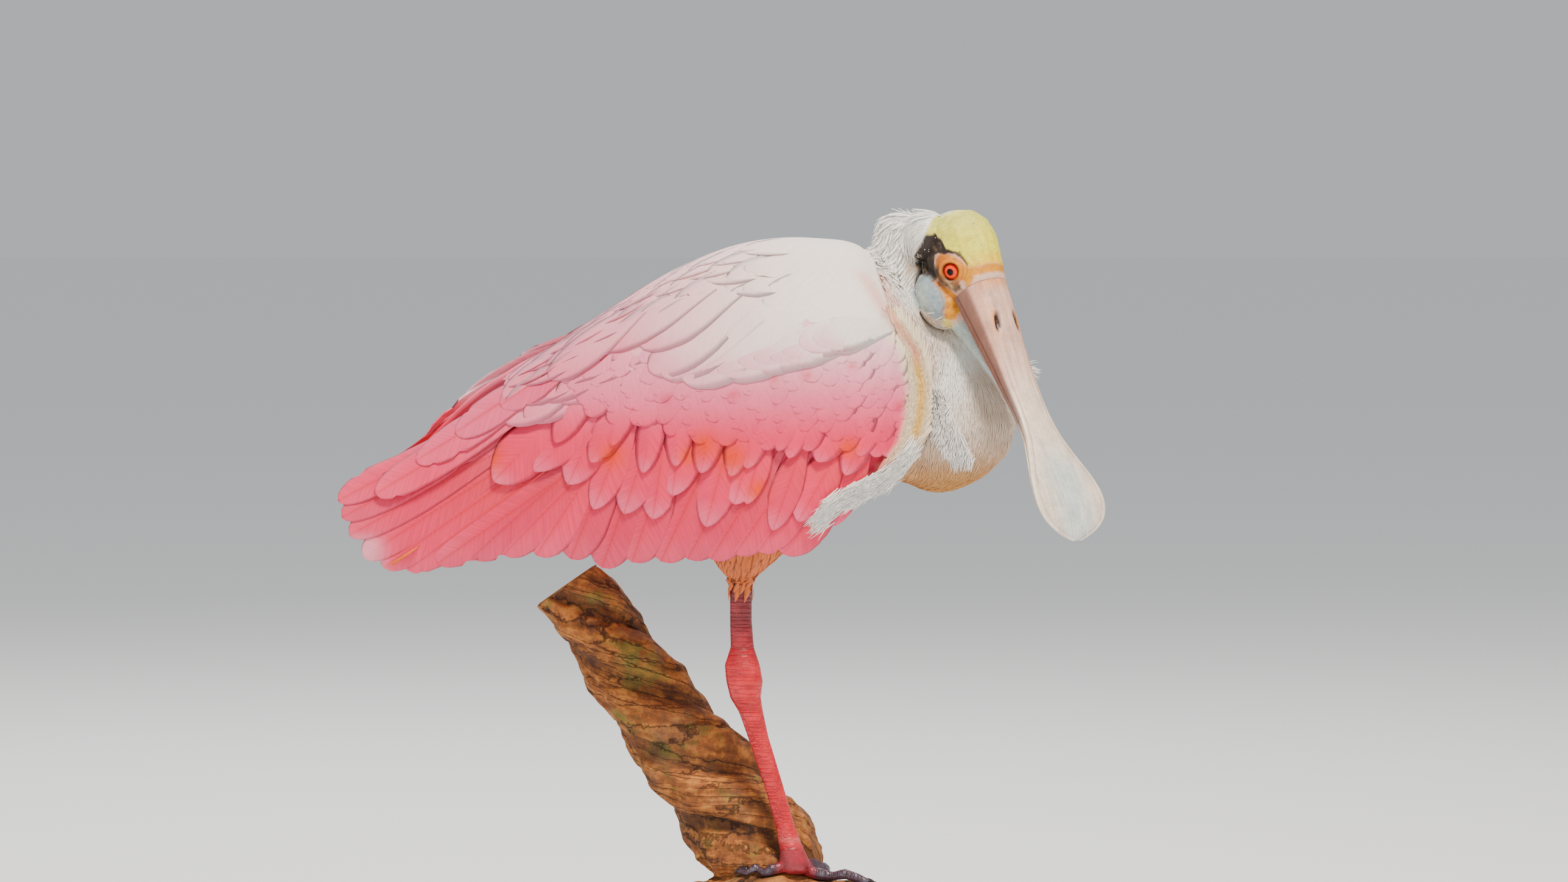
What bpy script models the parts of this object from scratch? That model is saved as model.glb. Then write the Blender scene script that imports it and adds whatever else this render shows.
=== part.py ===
"""Roseate spoonbill, life size, standing on one leg on a cut length of vine held by a display stand.

Units are metres with +Z up. The bird faces +X and turns its head towards -Y. The origin is the centre of
the base's underside. Tables are in millimetres, and MM turns them into metres.
"""

import math

import bmesh
import bpy
import numpy as np
from mathutils import Matrix, Vector
from mathutils.bvhtree import BVHTree

MM = 0.001
GAP = 0.3 * MM
# A cutter's corners move out by at most this many gaps.
MOST_GAPS = 1.6
SHARP_ANGLE = math.radians(40)

# Body outlines along X: x, height of the middle, half height, half width.
TORSO_ROWS = (
    (-135, 350, 25, 21),
    (-110, 357, 40, 32),
    (-80, 368, 56, 45),
    (-40, 381, 75, 58),
    (0, 389, 87, 65),
    (35, 393, 88, 67),
    (65, 398, 76, 62),
    (90, 399, 56, 52),
    (103, 396, 37, 38),
    (109, 394, 17, 20),
)
TORSO_POWER = 2.35
TORSO_SIDES = 22
TORSO_RINGS = 15

# The folded wing's outer face: x, height of the middle, reach above it, reach below it, half width.
WING_ROWS = (
    (-252, 316, 20, 26, 9),
    (-205, 322, 34, 46, 20),
    (-160, 340, 50, 64, 32),
    (-120, 354, 62, 84, 44),
    (-80, 368, 74, 104, 56),
    (-40, 380, 86, 124, 67),
    (0, 388, 93, 136, 73),
    (40, 396, 88, 132, 74),
    (75, 400, 77, 112, 67),
    (95, 400, 62, 92, 55),
    (110, 398, 48, 72, 37),
)
WING_POWER = 2.4
# The face is followed up to this share of its height, where it still leans outwards.
WING_LIMIT = 0.985
WING_TOP_SHARE = 0.94
# The far wing's tip is held this much higher. The rise starts at one x and is full at the other.
LEFT_WING_RAISE = 15 * MM
RAISE_FROM, RAISE_TO = 60 * MM, -120 * MM

# Side outline of the wing's fleshy core: share of the way up, x of its front, x of its rear.
CORE_ROWS = (
    (0.0, 52, -128),
    (0.25, 88, -146),
    (0.5, 102, -150),
    (0.75, 96, -138),
    (1.0, 79, -112),
)
CORE_BOTTOM_ROWS = ((-150, 322), (-60, 322), (10, 326), (60, 330), (102, 350))
CORE_THICKNESS = 9 * MM
CORE_EDGE = 2.4 * MM
CORE_COLUMNS = 10
CORE_LINES = 7

# Feather tiers, lowest first: share along the tier, tip x, tip z, slope in degrees, length, half width.
PRIMARY_ROWS = (
    (0.0, -207, 286, 25, 128, 11.5),
    (0.5, -240, 301, 28, 146, 12),
    (1.0, -247, 329, 33, 152, 11),
)
SECONDARY_ROWS = (
    (0.0, 22, 301, 50, 76, 16),
    (0.35, -38, 295, 63, 84, 17),
    (0.6, -90, 291, 71, 90, 17),
    (0.8, -138, 297, 50, 100, 16),
    (1.0, -186, 290, 32, 128, 14),
)
GREATER_ROWS = (
    (0.0, 50, 330, 56, 54, 15),
    (0.3, -4, 325, 68, 60, 16),
    (0.6, -60, 331, 76, 62, 16),
    (0.8, -104, 337, 62, 62, 16),
    (1.0, -148, 345, 42, 70, 14.5),
)
MEDIAN_ROWS = (
    (0.0, 82, 353, 58, 42, 17),
    (0.4, 14, 353, 72, 48, 20),
    (0.7, -46, 358, 74, 50, 20),
    (1.0, -112, 371, 46, 58, 18),
)
TERTIAL_ROWS = (
    (0.0, -214, 333, 34, 128, 14),
    (0.5, -184, 352, 36, 112, 15),
    (1.0, -150, 371, 36, 96, 15),
)
SCAPULAR_ROWS = (
    (0.0, 34, 404, 20, 62, 18),
    (0.5, -36, 402, 30, 74, 20),
    (1.0, -108, 405, 32, 82, 18),
)
# tier, number of feathers, how far the tip stands off the core
WING_TIERS = (
    (PRIMARY_ROWS, 6, 0.4),
    (SECONDARY_ROWS, 9, 0.4),
    (GREATER_ROWS, 7, 3.0),
    (MEDIAN_ROWS, 5, 5.6),
    (TERTIAL_ROWS, 3, 4.0),
    (SCAPULAR_ROWS, 3, 7.0),
)
# A vane is drawn at these shares of its length, with these shares of its half width.
VANE_STATIONS = ((0.0, 0.5), (0.36, 0.94), (0.76, 0.98), (0.97, 0.5))
VANE_THICKNESS = 0.8 * MM
TIP_ROUNDING = 0.05
# The root lies this deep in the core, and the vane has risen to the face by this share of its length.
ROOT_SINK = 3.2 * MM
ROOT_SHARE = 0.3
# One edge of each vane stands this much higher than its middle, so that it laps over the next vane.
VANE_TILT = 1.3 * MM

# Tail: a short core, and quills that fan a little and slope down behind the body.
TAIL_ROOT = Vector((-135, 0, 350)) * MM
# distance from the root, half width, half height, share of the full slope
TAIL_CORE_ROWS = (
    (0, 21, 25, 0.0),
    (10, 19, 20, 0.5),
    (22, 15, 13, 1.0),
    (34, 10, 6.5, 1.0),
    (40, 6, 3.5, 1.0),
)
TAIL_CORE_SIDES = 16
TAIL_SLOPE = math.radians(37)
TAIL_QUILLS = 8
TAIL_FAN = math.radians(8)
QUILL_START = 14 * MM
QUILL_SPREAD = 5 * MM
QUILL_LENGTH = 92 * MM
QUILL_HALF_WIDTH = 9 * MM
# the outermost quills are shorter by this share, and each quill lies this much below the one inside it
QUILL_SHORTER = 0.06
QUILL_STEP = 1.3 * MM

# Neck and the white bulge of the breast: z, centre x, centre y, half depth, half width.
NECK_ROWS = (
    (506, 93, 1, 5, 5),
    (501, 95, 1, 16, 13.5),
    (490, 98, 2, 21.5, 18),
    (470, 100, 2, 23.5, 19.5),
    (450, 101, 2, 24.5, 21),
    (430, 105, 1, 28, 25),
    (412, 112, 0, 33, 30),
    (395, 118, 0, 39.5, 35),
    (375, 123, 0, 44, 39),
    (356, 121, 0, 41, 37),
    (342, 119, 0, 29, 29),
    (334, 118, 0, 15, 16),
    (331, 117, 0, 5, 6),
)
NECK_SIDES = 18

# Head: its middle lies between the eyes. It is turned to the viewer, with the bill pointing down.
HEAD_MIDDLE = Vector((137, -24, 468)) * MM
HEAD_TURN = math.radians(48)
HEAD_PITCH = math.radians(60.6)
# towards the bill, middle towards the crown, half depth, half width
SKULL_ROWS = (
    (14, 2, 15.5, 15.5),
    (7, -1, 20.5, 16.5),
    (-4, -3.5, 25.5, 18),
    (-15, -4.5, 27.5, 20),
    (-26, -4, 24.5, 19.5),
    (-34, -3, 18, 15),
    (-39, -2.5, 8.5, 7.5),
)
# the scaled bulge of the cheek, on each side
CHEEK_MIDDLE = (5, -24.5, 8)
CHEEK_HALF = (20, 15.5, 16)
# towards the bill, middle towards the crown, half depth, half width of the bare throat pouch
POUCH_ROWS = (
    (2, -21, 14, 14),
    (16, -19.5, 10.5, 12.5),
    (30, -17.5, 8, 11),
    (44, -14.5, 6.4, 9),
    (57, -11.5, 4.6, 6.5),
    (66, -9.6, 2, 3),
)
EYE_RADIUS = 8 * MM
EYE_SUNK = 7 * MM
# where the middle of each eyelid ring lies, and which way it faces: along, up, out
LID_MIDDLE = (0, 0, 17.3)
LID_FACING = (0.36, 0.22, 0.9)
LID_RADIUS = 6.9 * MM
LID_THICKNESS = 1.8 * MM
LID_FLATNESS = 1.2
LID_COLUMNS, LID_SIDES = 14, 5
EAR_AT = (-15, -20, 17.4)
EAR_HALF = (3.2, 2.4, 3.2)
# The space cut for the bill's root: length, half width, height above the middle, depth below it.
FACE_CUT = (60, 30, 40, 11.3)

# Bill: distance from the face, half width, height of the upper half, depth of the lower, rise of the middle.
BILL_ROWS = (
    (0, 15.5, 16.2, 11, 0),
    (12, 15, 15, 10.4, 0),
    (27, 14.4, 12.8, 9.4, 0),
    (48, 13.6, 9.4, 7.2, 0.3),
    (70, 13, 6.6, 5, 1.2),
    (87, 13, 5.2, 3.8, 2.4),
    (102, 15, 4.2, 3, 3.8),
    (117, 20, 3.5, 2.5, 5.3),
    (130, 25, 3.1, 2.2, 6.4),
    (141, 27.6, 2.9, 2.1, 6.8),
    (151, 27, 2.7, 2.0, 6.0),
    (160, 21.5, 2.5, 1.8, 3.8),
    (166, 12, 2.1, 1.5, 1.6),
    (169, 4, 1.4, 1.1, 0.4),
)
BILL_START = 14 * MM
BILL_RINGS = 20
# rings stand closer together near the tip by this power
BILL_CROWDING = 1.25
BILL_ARC = 9
# The lower half is narrower and shorter than the upper one by these shares.
LOWER_SHARE, LOWER_REACH = 0.95, 0.985
# The bill's edge is this share of its height thick, and its flat underside this share of its width.
EDGE_SHARE, FLAT_SHARE = 0.18, 0.96
# how square the section is: 1 is an ellipse and less is squarer
UPPER_SQUARE, LOWER_SQUARE = 0.85, 0.6
NOSTRIL_AT = (26, 8.0, 10.2)
NOSTRIL_HALF = (5.2, 1.1, 3.2)

# Standing leg: z, centre x, centre y, half depth, half width.
THIGH_ROWS = (
    (335, 10, -28, 34, 18),
    (318, 6, -28, 33, 18.5),
    (304, 2, -27.5, 29, 17.5),
    (294, 0, -26.5, 22, 15),
    (286, -2, -25.5, 14.5, 11),
    (280, -2.5, -24.5, 9, 8),
)
LEG_ROWS = (
    (279.7, -2.8, -24.5, 6.8, 5.8),
    (256, -2.8, -21.6, 6.7, 5.2),
    (240, -2, -20, 7.2, 5.8),
    (229, -2, -19, 10.8, 8.2),
    (219, -0.6, -18, 11.2, 8.6),
    (209, 0, -17, 9.4, 7.8),
    (200, 3.4, -16, 7.4, 6),
    (185, 7.6, -14.6, 6.4, 4.9),
    (150, 18.6, -11.2, 5.8, 4.7),
    (128, 24.6, -9, 6, 5.4),
    (118, 27.4, -8, 7.2, 6.8),
)
LEG_SIDES = 16
HUB_ROWS = (
    (117.7, 27.6, -8, 7.2, 6.8),
    (113, 28.8, -8, 8.2, 7.8),
    (107, 30, -8, 9.6, 8.8),
    (103, 30.5, -8, 8.8, 8),
    (101, 30.5, -8, 6, 5.5),
)
HUB_MIDDLE = Vector((30, -8, 108)) * MM
# Toes of the standing foot: heading in degrees (0 is +X, 90 is towards the viewer), length, radius.
TOES = (
    ("middle", 4, 64, 4.4),
    ("outer", 50, 58, 4.2),
    ("inner", -40, 52, 4.0),
    ("hind", 146, 38, 3.9),
)
TOE_STEPS = 8
# A toe thins by this share towards its claw, swells at its knuckles, and ends in a claw with a fine point.
TOE_TAPER = 0.3
KNUCKLES = 3
KNUCKLE_SWELL = 0.14
CLAW_SHARE = 0.16
CLAW_THICKNESS = 0.62
CLAW_POINT = 0.35 * MM
TOE_BEDDING = 0.3 * MM
WEB_THICKNESS = 1.2 * MM
WEB_STEPS = 5

# Tucked leg on the far side: feathered lobe, then the bare heel, and the shank folded forward below it.
LOBE_ROWS = (
    (32, 29, 334, 17, 17),
    (10, 32, 331, 19, 19),
    (-20, 33, 328, 17.5, 17.5),
    (-48, 34, 323, 13.5, 13.5),
    (-68, 34.5, 318, 9.5, 9.5),
    (-78, 35, 315.5, 7, 7),
)
TUCKED_TIBIA = ((-78.3, 35, 315.4, 5.6), (-88, 35.3, 312, 6.2), (-95, 35.5, 308.5, 8))
TUCKED_HEEL = Vector((-96, 35.5, 306)) * MM
TUCKED_HEEL_HALF = (11, 7.8, 11.2)
TUCKED_SHANK = (
    (-94, 35.5, 301.5, 8),
    (-82, 35, 299.5, 5.9),
    (-50, 34, 298.5, 5.2),
    (-15, 35, 299.5, 5.3),
    (2, 36.5, 301.5, 6.6),
    (10, 37, 303, 7.2),
)
TUCKED_ANKLE_HALF = (7, 6.6, 6.6)
# how far ahead of the shank's end the ankle's middle lies, as a share of its own half length
ANKLE_SHIFT = 0.75
# turn outwards, rise, length, radius
TUCKED_TOES = ((2, 25, 46, 3.8), (10, 26, 40, 3.6), (-6, 27, 40, 3.6), (2, -34, 26, 3.4))
CLOSED_TOE_STEPS = 7

# The vine: a thick twisted limb rising behind the leg, and a level length below it that the foot stands on.
LIMB_ROWS = (
    (-109, 44, 275, 23),
    (-84, 42, 239, 24.5),
    (-58, 39, 201, 27.5),
    (-28, 36, 161, 31),
    (-4, 33, 131, 34),
    (12, 29, 104, 34),
    (20, 22, 80, 30),
    (22, 16, 66, 25),
)
BRANCH_ROWS = (
    (-34, 14, 71, 21),
    (-8, 4, 75, 23.5),
    (26, -5, 77, 24),
    (60, -8, 75, 22.5),
    (92, -9, 73, 21),
    (118, -10, 72, 19.5),
)
VINE_SIDES = 18
VINE_STRANDS = 3
VINE_PITCH = 175 * MM
VINE_LOBE = 0.12
# how far ahead and behind a ring the vine's direction is read, in rows of its table
VINE_PROBE = 0.1

BASE_HALF_LENGTH = 140 * MM
BASE_HALF_WIDTH = 92 * MM
BASE_THICKNESS = 16 * MM
BASE_CORNER = 30 * MM
BASE_BEVEL = 3 * MM
BASE_CORNER_STEPS = 6
ROD_RADIUS = 5 * MM
# x and y of each rod, which reaches from the base up into the vine's underside before it is cut to fit
RODS = ((2, 8), (92, -9))
ROD_SIDES = 20
ROD_INTO_VINE = 14 * MM

# slot: colour, roughness, metallic
FINISHES = {
    "wing_feathers": ("F2A3AE", 0.62, 0.0),
    "body_plumage": ("F3D9D6", 0.68, 0.0),
    "neck_plumage": ("EFEBE2", 0.7, 0.0),
    "tail_feathers": ("E2905A", 0.62, 0.0),
    "bare_skin": ("C9C98A", 0.5, 0.0),
    "bill": ("BFAFA8", 0.38, 0.0),
    "eye": ("C9341A", 0.08, 0.0),
    "leg_skin": ("B8383C", 0.5, 0.0),
    "vine_bark": ("8B5A36", 0.85, 0.0),
    "base_wood": ("3A2A20", 0.4, 0.0),
    "rod_metal": ("A88B4C", 0.3, 1.0),
}


def clear_scene():
    for obj in list(bpy.data.objects):
        bpy.data.objects.remove(obj)


def channel(value):
    """One sRGB channel as linear light."""
    return value / 12.92 if value <= 0.04045 else ((value + 0.055) / 1.055) ** 2.4


def finish_material(name):
    colour, roughness, metallic = FINISHES[name]
    made = bpy.data.materials.get(name) or bpy.data.materials.new(name)
    made.use_nodes = True
    shader = made.node_tree.nodes["Principled BSDF"]
    parts = [channel(int(colour[i : i + 2], 16) / 255) for i in (0, 2, 4)]
    shader.inputs["Base Color"].default_value = (*parts, 1)
    shader.inputs["Roughness"].default_value = roughness
    shader.inputs["Metallic"].default_value = metallic
    return made


def curve_through(rows, scale=MM, key_scale=MM):
    """A smooth function of the first column, giving the other columns."""
    table = np.array(sorted(rows), float)
    keys, values = table[:, 0] * key_scale, table[:, 1:] * scale
    slopes = np.gradient(values, keys, axis=0)

    def at(key):
        key = min(max(key, keys[0]), keys[-1])
        i = min(int(np.searchsorted(keys, key, side="right")) - 1, len(keys) - 2)
        step = keys[i + 1] - keys[i]
        t = (key - keys[i]) / step
        return (
            values[i] * (1 + 2 * t) * (1 - t) ** 2
            + slopes[i] * step * t * (1 - t) ** 2
            + values[i + 1] * t * t * (3 - 2 * t)
            - slopes[i + 1] * step * t * t * (1 - t)
        )

    return at


def spread(first, last, count):
    return [first + (last - first) * i / (count - 1) for i in range(count)]


def signed_power(value, power):
    return math.copysign(abs(value) ** power, value)


def ring(centre, across, up, half_across, half_up, power=2.0, sides=TORSO_SIDES):
    """A closed ring of points, an ellipse that a higher power squares off."""
    points = []
    for k in range(sides):
        angle = 2 * math.pi * k / sides
        a = signed_power(math.cos(angle), 2 / power) * half_across
        b = signed_power(math.sin(angle), 2 / power) * half_up
        points.append(centre + across * a + up * b)
    return points


def new_object(name, bm, finish):
    bm.normal_update()
    bmesh.ops.recalc_face_normals(bm, faces=bm.faces)
    mesh = bpy.data.meshes.new(name)
    bm.to_mesh(mesh)
    bm.free()
    obj = bpy.data.objects.new(name, mesh)
    bpy.context.scene.collection.objects.link(obj)
    obj.data.materials.append(finish_material(finish))
    mesh.shade_smooth()
    mesh.set_sharp_from_angle(angle=SHARP_ANGLE)
    return obj


def loft(name, rings, finish):
    """A closed skin over rings with the same number of points, with a flat face at each end."""
    bm = bmesh.new()
    placed = [[bm.verts.new(p) for p in points] for points in rings]
    for lower, upper in zip(placed, placed[1:]):
        for k in range(len(lower)):
            after = (k + 1) % len(lower)
            bm.faces.new((lower[k], lower[after], upper[after], upper[k]))
    bm.faces.new(placed[0])
    bm.faces.new(placed[-1])
    return new_object(name, bm, finish)


def ellipsoid(name, centre, axes, halves, finish, columns=20, lines=12):
    bm = bmesh.new()
    bmesh.ops.create_uvsphere(bm, u_segments=columns, v_segments=lines, radius=1.0)
    for vert in bm.verts:
        local = vert.co.copy()
        vert.co = centre + sum((a * h * c for a, h, c in zip(axes, halves, local)), Vector())
    return new_object(name, bm, finish)


def grown(obj, by=GAP):
    """A copy of obj with its surface moved out, used to cut a gap round it."""
    bm = bmesh.new()
    graph = bpy.context.evaluated_depsgraph_get()
    bm.from_object(obj, graph)
    bm.normal_update()
    for vert, normal in [(v, v.normal.copy()) for v in bm.verts]:
        vert.co += normal * by * min(MOST_GAPS, vert.calc_shell_factor())
    mesh = bpy.data.meshes.new(obj.name + "_grown")
    bm.to_mesh(mesh)
    bm.free()
    copy = bpy.data.objects.new(obj.name + "_grown", mesh)
    bpy.context.scene.collection.objects.link(copy)
    return copy


def keep_largest(mesh):
    """Leaves only the closed surface with the most volume."""
    bm = bmesh.new()
    bm.from_mesh(mesh)
    bmesh.ops.triangulate(bm, faces=bm.faces)
    bm.verts.ensure_lookup_table()
    seen, groups = set(), []
    for start in bm.verts:
        if start in seen:
            continue
        seen.add(start)
        group, waiting = [], [start]
        while waiting:
            vert = waiting.pop()
            group.append(vert)
            for edge in vert.link_edges:
                other = edge.other_vert(vert)
                if other not in seen:
                    seen.add(other)
                    waiting.append(other)
        groups.append(group)

    def volume(group):
        faces = {f for v in group for f in v.link_faces}
        corners = [[v.co for v in f.verts] for f in faces]
        return sum(a.dot(b.cross(c)) for a, b, c in corners) / 6

    kept = max(groups, key=volume)
    for group in groups:
        if group is not kept:
            bmesh.ops.delete(bm, geom=group, context="VERTS")
    bm.to_mesh(mesh)
    bm.free()


def combine(target, others, operation):
    """Applies one Boolean between target and a collection of closed pieces, which are then removed.

    The vanes, webs and twisted strands cross at shallow angles, where the default solver leaves open edges.
    """
    pieces = bpy.data.collections.new("pieces")
    bpy.context.scene.collection.children.link(pieces)
    for obj in others:
        pieces.objects.link(obj)
    modifier = target.modifiers.new("combine", "BOOLEAN")
    modifier.operation = operation
    modifier.operand_type = "COLLECTION"
    modifier.collection = pieces
    modifier.solver = "MANIFOLD"
    bpy.context.view_layer.update()
    graph = bpy.context.evaluated_depsgraph_get()
    made = bpy.data.meshes.new_from_object(target.evaluated_get(graph))
    target.modifiers.clear()
    target.data = made
    for obj in others:
        bpy.data.objects.remove(obj)
    bpy.data.collections.remove(pieces)
    keep_largest(made)
    return target


def cut_clear(target, *neighbours):
    """Cuts target back so that it stops a gap short of its neighbours."""
    return combine(target, [grown(n) for n in neighbours], "DIFFERENCE")


# Torso, neck and tail

TORSO = curve_through(TORSO_ROWS)
AXIS_X, AXIS_Y, AXIS_Z = Vector((1, 0, 0)), Vector((0, 1, 0)), Vector((0, 0, 1))


def torso():
    first, last = TORSO_ROWS[0][0] * MM, TORSO_ROWS[-1][0] * MM
    rings = []
    for share in spread(0, math.pi / 2, TORSO_RINGS):
        x = first + (last - first) * math.sin(share)
        middle, half_height, half_width = TORSO(x)
        centre = Vector((x, 0, middle))
        rings.append(ring(centre, AXIS_Y, AXIS_Z, half_width, half_height, TORSO_POWER))
    return loft("torso", rings, "body_plumage")


def neck():
    rings = []
    for z, x, y, half_depth, half_width in NECK_ROWS:
        centre = Vector((x, y, z)) * MM
        rings.append(ring(centre, AXIS_X, AXIS_Y, half_depth * MM, half_width * MM, 2.0, NECK_SIDES))
    return loft("neck", rings, "neck_plumage")


def close_plate(bm, rings):
    """Skins rings of a thin plate with triangles that run alike on both of its faces."""
    for lower, upper in zip(rings, rings[1:]):
        count = len(lower)
        for k in range(count):
            after = (k + 1) % count
            bm.faces.new((lower[k], lower[after], upper[after]))
            bm.faces.new((lower[k], upper[after], upper[k]))
    bm.faces.new(rings[0])
    bm.faces.new(rings[-1])
    bmesh.ops.triangulate(bm, faces=bm.faces)


def vane(name, sections, finish):
    """One feather, a thin plate. Each section holds a place and a normal at its two edges and middle."""
    bm = bmesh.new()
    half = VANE_THICKNESS / 2
    rings = []
    for section in sections:
        top = [bm.verts.new(place + normal * half) for place, normal in section]
        under = [bm.verts.new(place - normal * half) for place, normal in reversed(section)]
        rings.append(top + under)
    close_plate(bm, rings)
    return new_object(name, bm, finish)


def tail_core():
    back = Vector((-math.cos(TAIL_SLOPE), 0, -math.sin(TAIL_SLOPE)))
    rings = []
    for reach, half_width, half_height, bend in TAIL_CORE_ROWS:
        heading = Vector((-1, 0, 0)).lerp(back, bend).normalized()
        up = AXIS_Y.cross(heading)
        centre = TAIL_ROOT - AXIS_X * GAP + heading * reach * MM
        sizes = (half_width * MM, half_height * MM)
        rings.append(ring(centre, AXIS_Y, up, *sizes, TORSO_POWER, TAIL_CORE_SIDES))
    return loft("tail", rings, "tail_feathers")


def quill(place):
    """One tail feather. Place runs from -1, the outermost on the right, to 1 on the left."""
    slope, turn = TAIL_SLOPE, TAIL_FAN * place
    heading = Vector((-math.cos(slope) * math.cos(turn), math.sin(turn), -math.sin(slope))).normalized()
    up = Vector((-math.sin(slope), 0, math.cos(slope)))
    across = heading.cross(up).normalized()
    start = TAIL_ROOT + AXIS_Y * place * QUILL_SPREAD - Vector((up.z, 0, -up.x)) * QUILL_START
    length = QUILL_LENGTH * (1 - QUILL_SHORTER * place * place)
    stacked = (1 - abs(place)) * QUILL_STEP * (TAIL_QUILLS - 1) / 2
    tilt = math.copysign(VANE_TILT, -place)
    sections = []
    for t, share in VANE_STATIONS:
        section = []
        for edge in (-1, 0, 1):
            rounded = TIP_ROUNDING if t == VANE_STATIONS[-1][0] and edge == 0 else 0
            spot = start + heading * length * (t + rounded) + across * edge * QUILL_HALF_WIDTH * share
            section.append((spot + up * (stacked * t + tilt * edge), up))
        sections.append(section)
    return vane("quill", sections, "tail_feathers")


def tail():
    return combine(tail_core(), [quill(place) for place in spread(-1, 1, TAIL_QUILLS)], "UNION")


# Wings

WING = curve_through(WING_ROWS)
CORE_EDGES = curve_through(CORE_ROWS, MM, 1.0)
CORE_BOTTOM = curve_through(CORE_BOTTOM_ROWS)
PROBE = 0.5 * MM


def wing_half_width(x, z):
    """How far out the folded wing's face lies at a point of its side view."""
    middle, above, below, half_width = WING(x)
    share = min(abs(z - middle) / (above if z > middle else below), WING_LIMIT)
    return half_width * (1 - share**WING_POWER) ** (1 / WING_POWER)


def wing_point(side, x, z, lift=0.0):
    """The wing's face over a place in its side view, as a point and a normal. Side is 1 for left."""
    along = (wing_half_width(x + PROBE, z) - wing_half_width(x - PROBE, z)) / (2 * PROBE)
    rising = (wing_half_width(x, z + PROBE) - wing_half_width(x, z - PROBE)) / (2 * PROBE)
    normal = Vector((-along, 1, -rising)).normalized()
    point = Vector((x, wing_half_width(x, z), z)) + normal * lift
    return Vector((point.x, point.y * side, point.z)), Vector((normal.x, normal.y * side, normal.z))


def wing_core(side):
    """The fleshy arm and hand of the folded wing: a pillow that follows the wing's face."""
    bm = bmesh.new()
    outer, inner = [], []
    for u in spread(0, 1, CORE_COLUMNS):
        outer_line, inner_line = [], []
        for v in spread(0, 1, CORE_LINES):
            front, rear = CORE_EDGES(v)
            x = front + (rear - front) * u
            middle, above, _, _ = WING(x)
            low = CORE_BOTTOM(x)[0]
            z = low + (middle + WING_TOP_SHARE * above - low) * v
            fullness = math.sqrt(max(math.sin(math.pi * u) * math.sin(math.pi * v), 0))
            face, normal = wing_point(side, x, z)
            depth = CORE_EDGE + (CORE_THICKNESS - CORE_EDGE) * fullness
            outer_line.append(bm.verts.new(face))
            inner_line.append(bm.verts.new(face - normal * depth))
        outer.append(outer_line)
        inner.append(inner_line)
    last_i, last_j = CORE_COLUMNS - 1, CORE_LINES - 1
    for i in range(last_i):
        for j in range(last_j):
            bm.faces.new((outer[i][j], outer[i + 1][j], outer[i + 1][j + 1], outer[i][j + 1]))
            bm.faces.new((inner[i][j], inner[i][j + 1], inner[i + 1][j + 1], inner[i + 1][j]))
        for j in (0, last_j):
            bm.faces.new((outer[i][j], inner[i][j], inner[i + 1][j], outer[i + 1][j]))
    for j in range(last_j):
        for i in (0, last_i):
            bm.faces.new((outer[i][j], outer[i][j + 1], inner[i][j + 1], inner[i][j]))
    bmesh.ops.triangulate(bm, faces=bm.faces)
    return new_object("wing_left" if side > 0 else "wing_right", bm, "wing_feathers")


def wing_vane(side, feather, lift):
    """One feather of a wing tier, laid over the wing's face from its root to its tip."""
    tip_x, tip_z, slope, length, half_width = feather
    along = Vector((math.cos(math.radians(slope)), 0, math.sin(math.radians(slope))))
    sections = []
    for t, share in VANE_STATIONS:
        spot = Vector((tip_x, 0, tip_z)) * MM + along * length * MM * (1 - t)
        normal = wing_point(side, spot.x, spot.z)[1]
        across = along.cross(normal).normalized() * half_width * MM * share * side
        rise = lift * MM * t - ROOT_SINK * (1 - min(t / ROOT_SHARE, 1))
        section = []
        for edge in (-1, 0, 1):
            rounded = TIP_ROUNDING if t == VANE_STATIONS[-1][0] and edge == 0 else 0
            place = spot + across * edge - along * length * MM * rounded
            section.append(wing_point(side, place.x, place.z, rise - VANE_TILT * edge))
        sections.append(section)
    return vane("vane", sections, "wing_feathers")


def raise_rear(pieces):
    """Lifts the rear of the far wing, which the bird holds a little higher."""
    for obj in pieces:
        for vert in obj.data.vertices:
            share = min(max((vert.co.x - RAISE_FROM) / (RAISE_TO - RAISE_FROM), 0), 1)
            vert.co.z += LEFT_WING_RAISE * share * share * (3 - 2 * share)


def wing(side, neighbours):
    core = wing_core(side)
    vanes = []
    for rows, count, lift in WING_TIERS:
        tier = curve_through(rows, 1.0, 1.0)
        vanes += [wing_vane(side, tier(place), lift) for place in spread(0, 1, count)]
    if side > 0:
        raise_rear([core, *vanes])
    combine(core, vanes, "UNION")
    return cut_clear(core, *neighbours)


# Head, eyes and bill

TO_BILL = Vector(
    (
        math.cos(HEAD_PITCH) * math.cos(HEAD_TURN),
        -math.cos(HEAD_PITCH) * math.sin(HEAD_TURN),
        -math.sin(HEAD_PITCH),
    )
)
TO_CROWN = Vector(
    (
        math.sin(HEAD_PITCH) * math.cos(HEAD_TURN),
        -math.sin(HEAD_PITCH) * math.sin(HEAD_TURN),
        math.cos(HEAD_PITCH),
    )
)
TO_RIGHT = Vector((-math.sin(HEAD_TURN), -math.cos(HEAD_TURN), 0))
HEAD_AXES = (TO_BILL, TO_CROWN, TO_RIGHT)


def in_head(to_bill, to_crown, to_right):
    """A point given in millimetres along the head's own directions."""
    return HEAD_MIDDLE + (TO_BILL * to_bill + TO_CROWN * to_crown + TO_RIGHT * to_right) * MM


def head_loft(name, rows, finish, sides=18):
    rings = []
    for reach, rise, half_depth, half_width in rows:
        centre = in_head(reach, rise, 0)
        rings.append(ring(centre, TO_RIGHT, TO_CROWN, half_width * MM, half_depth * MM, 2.15, sides))
    return loft(name, rings, finish)


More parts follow.
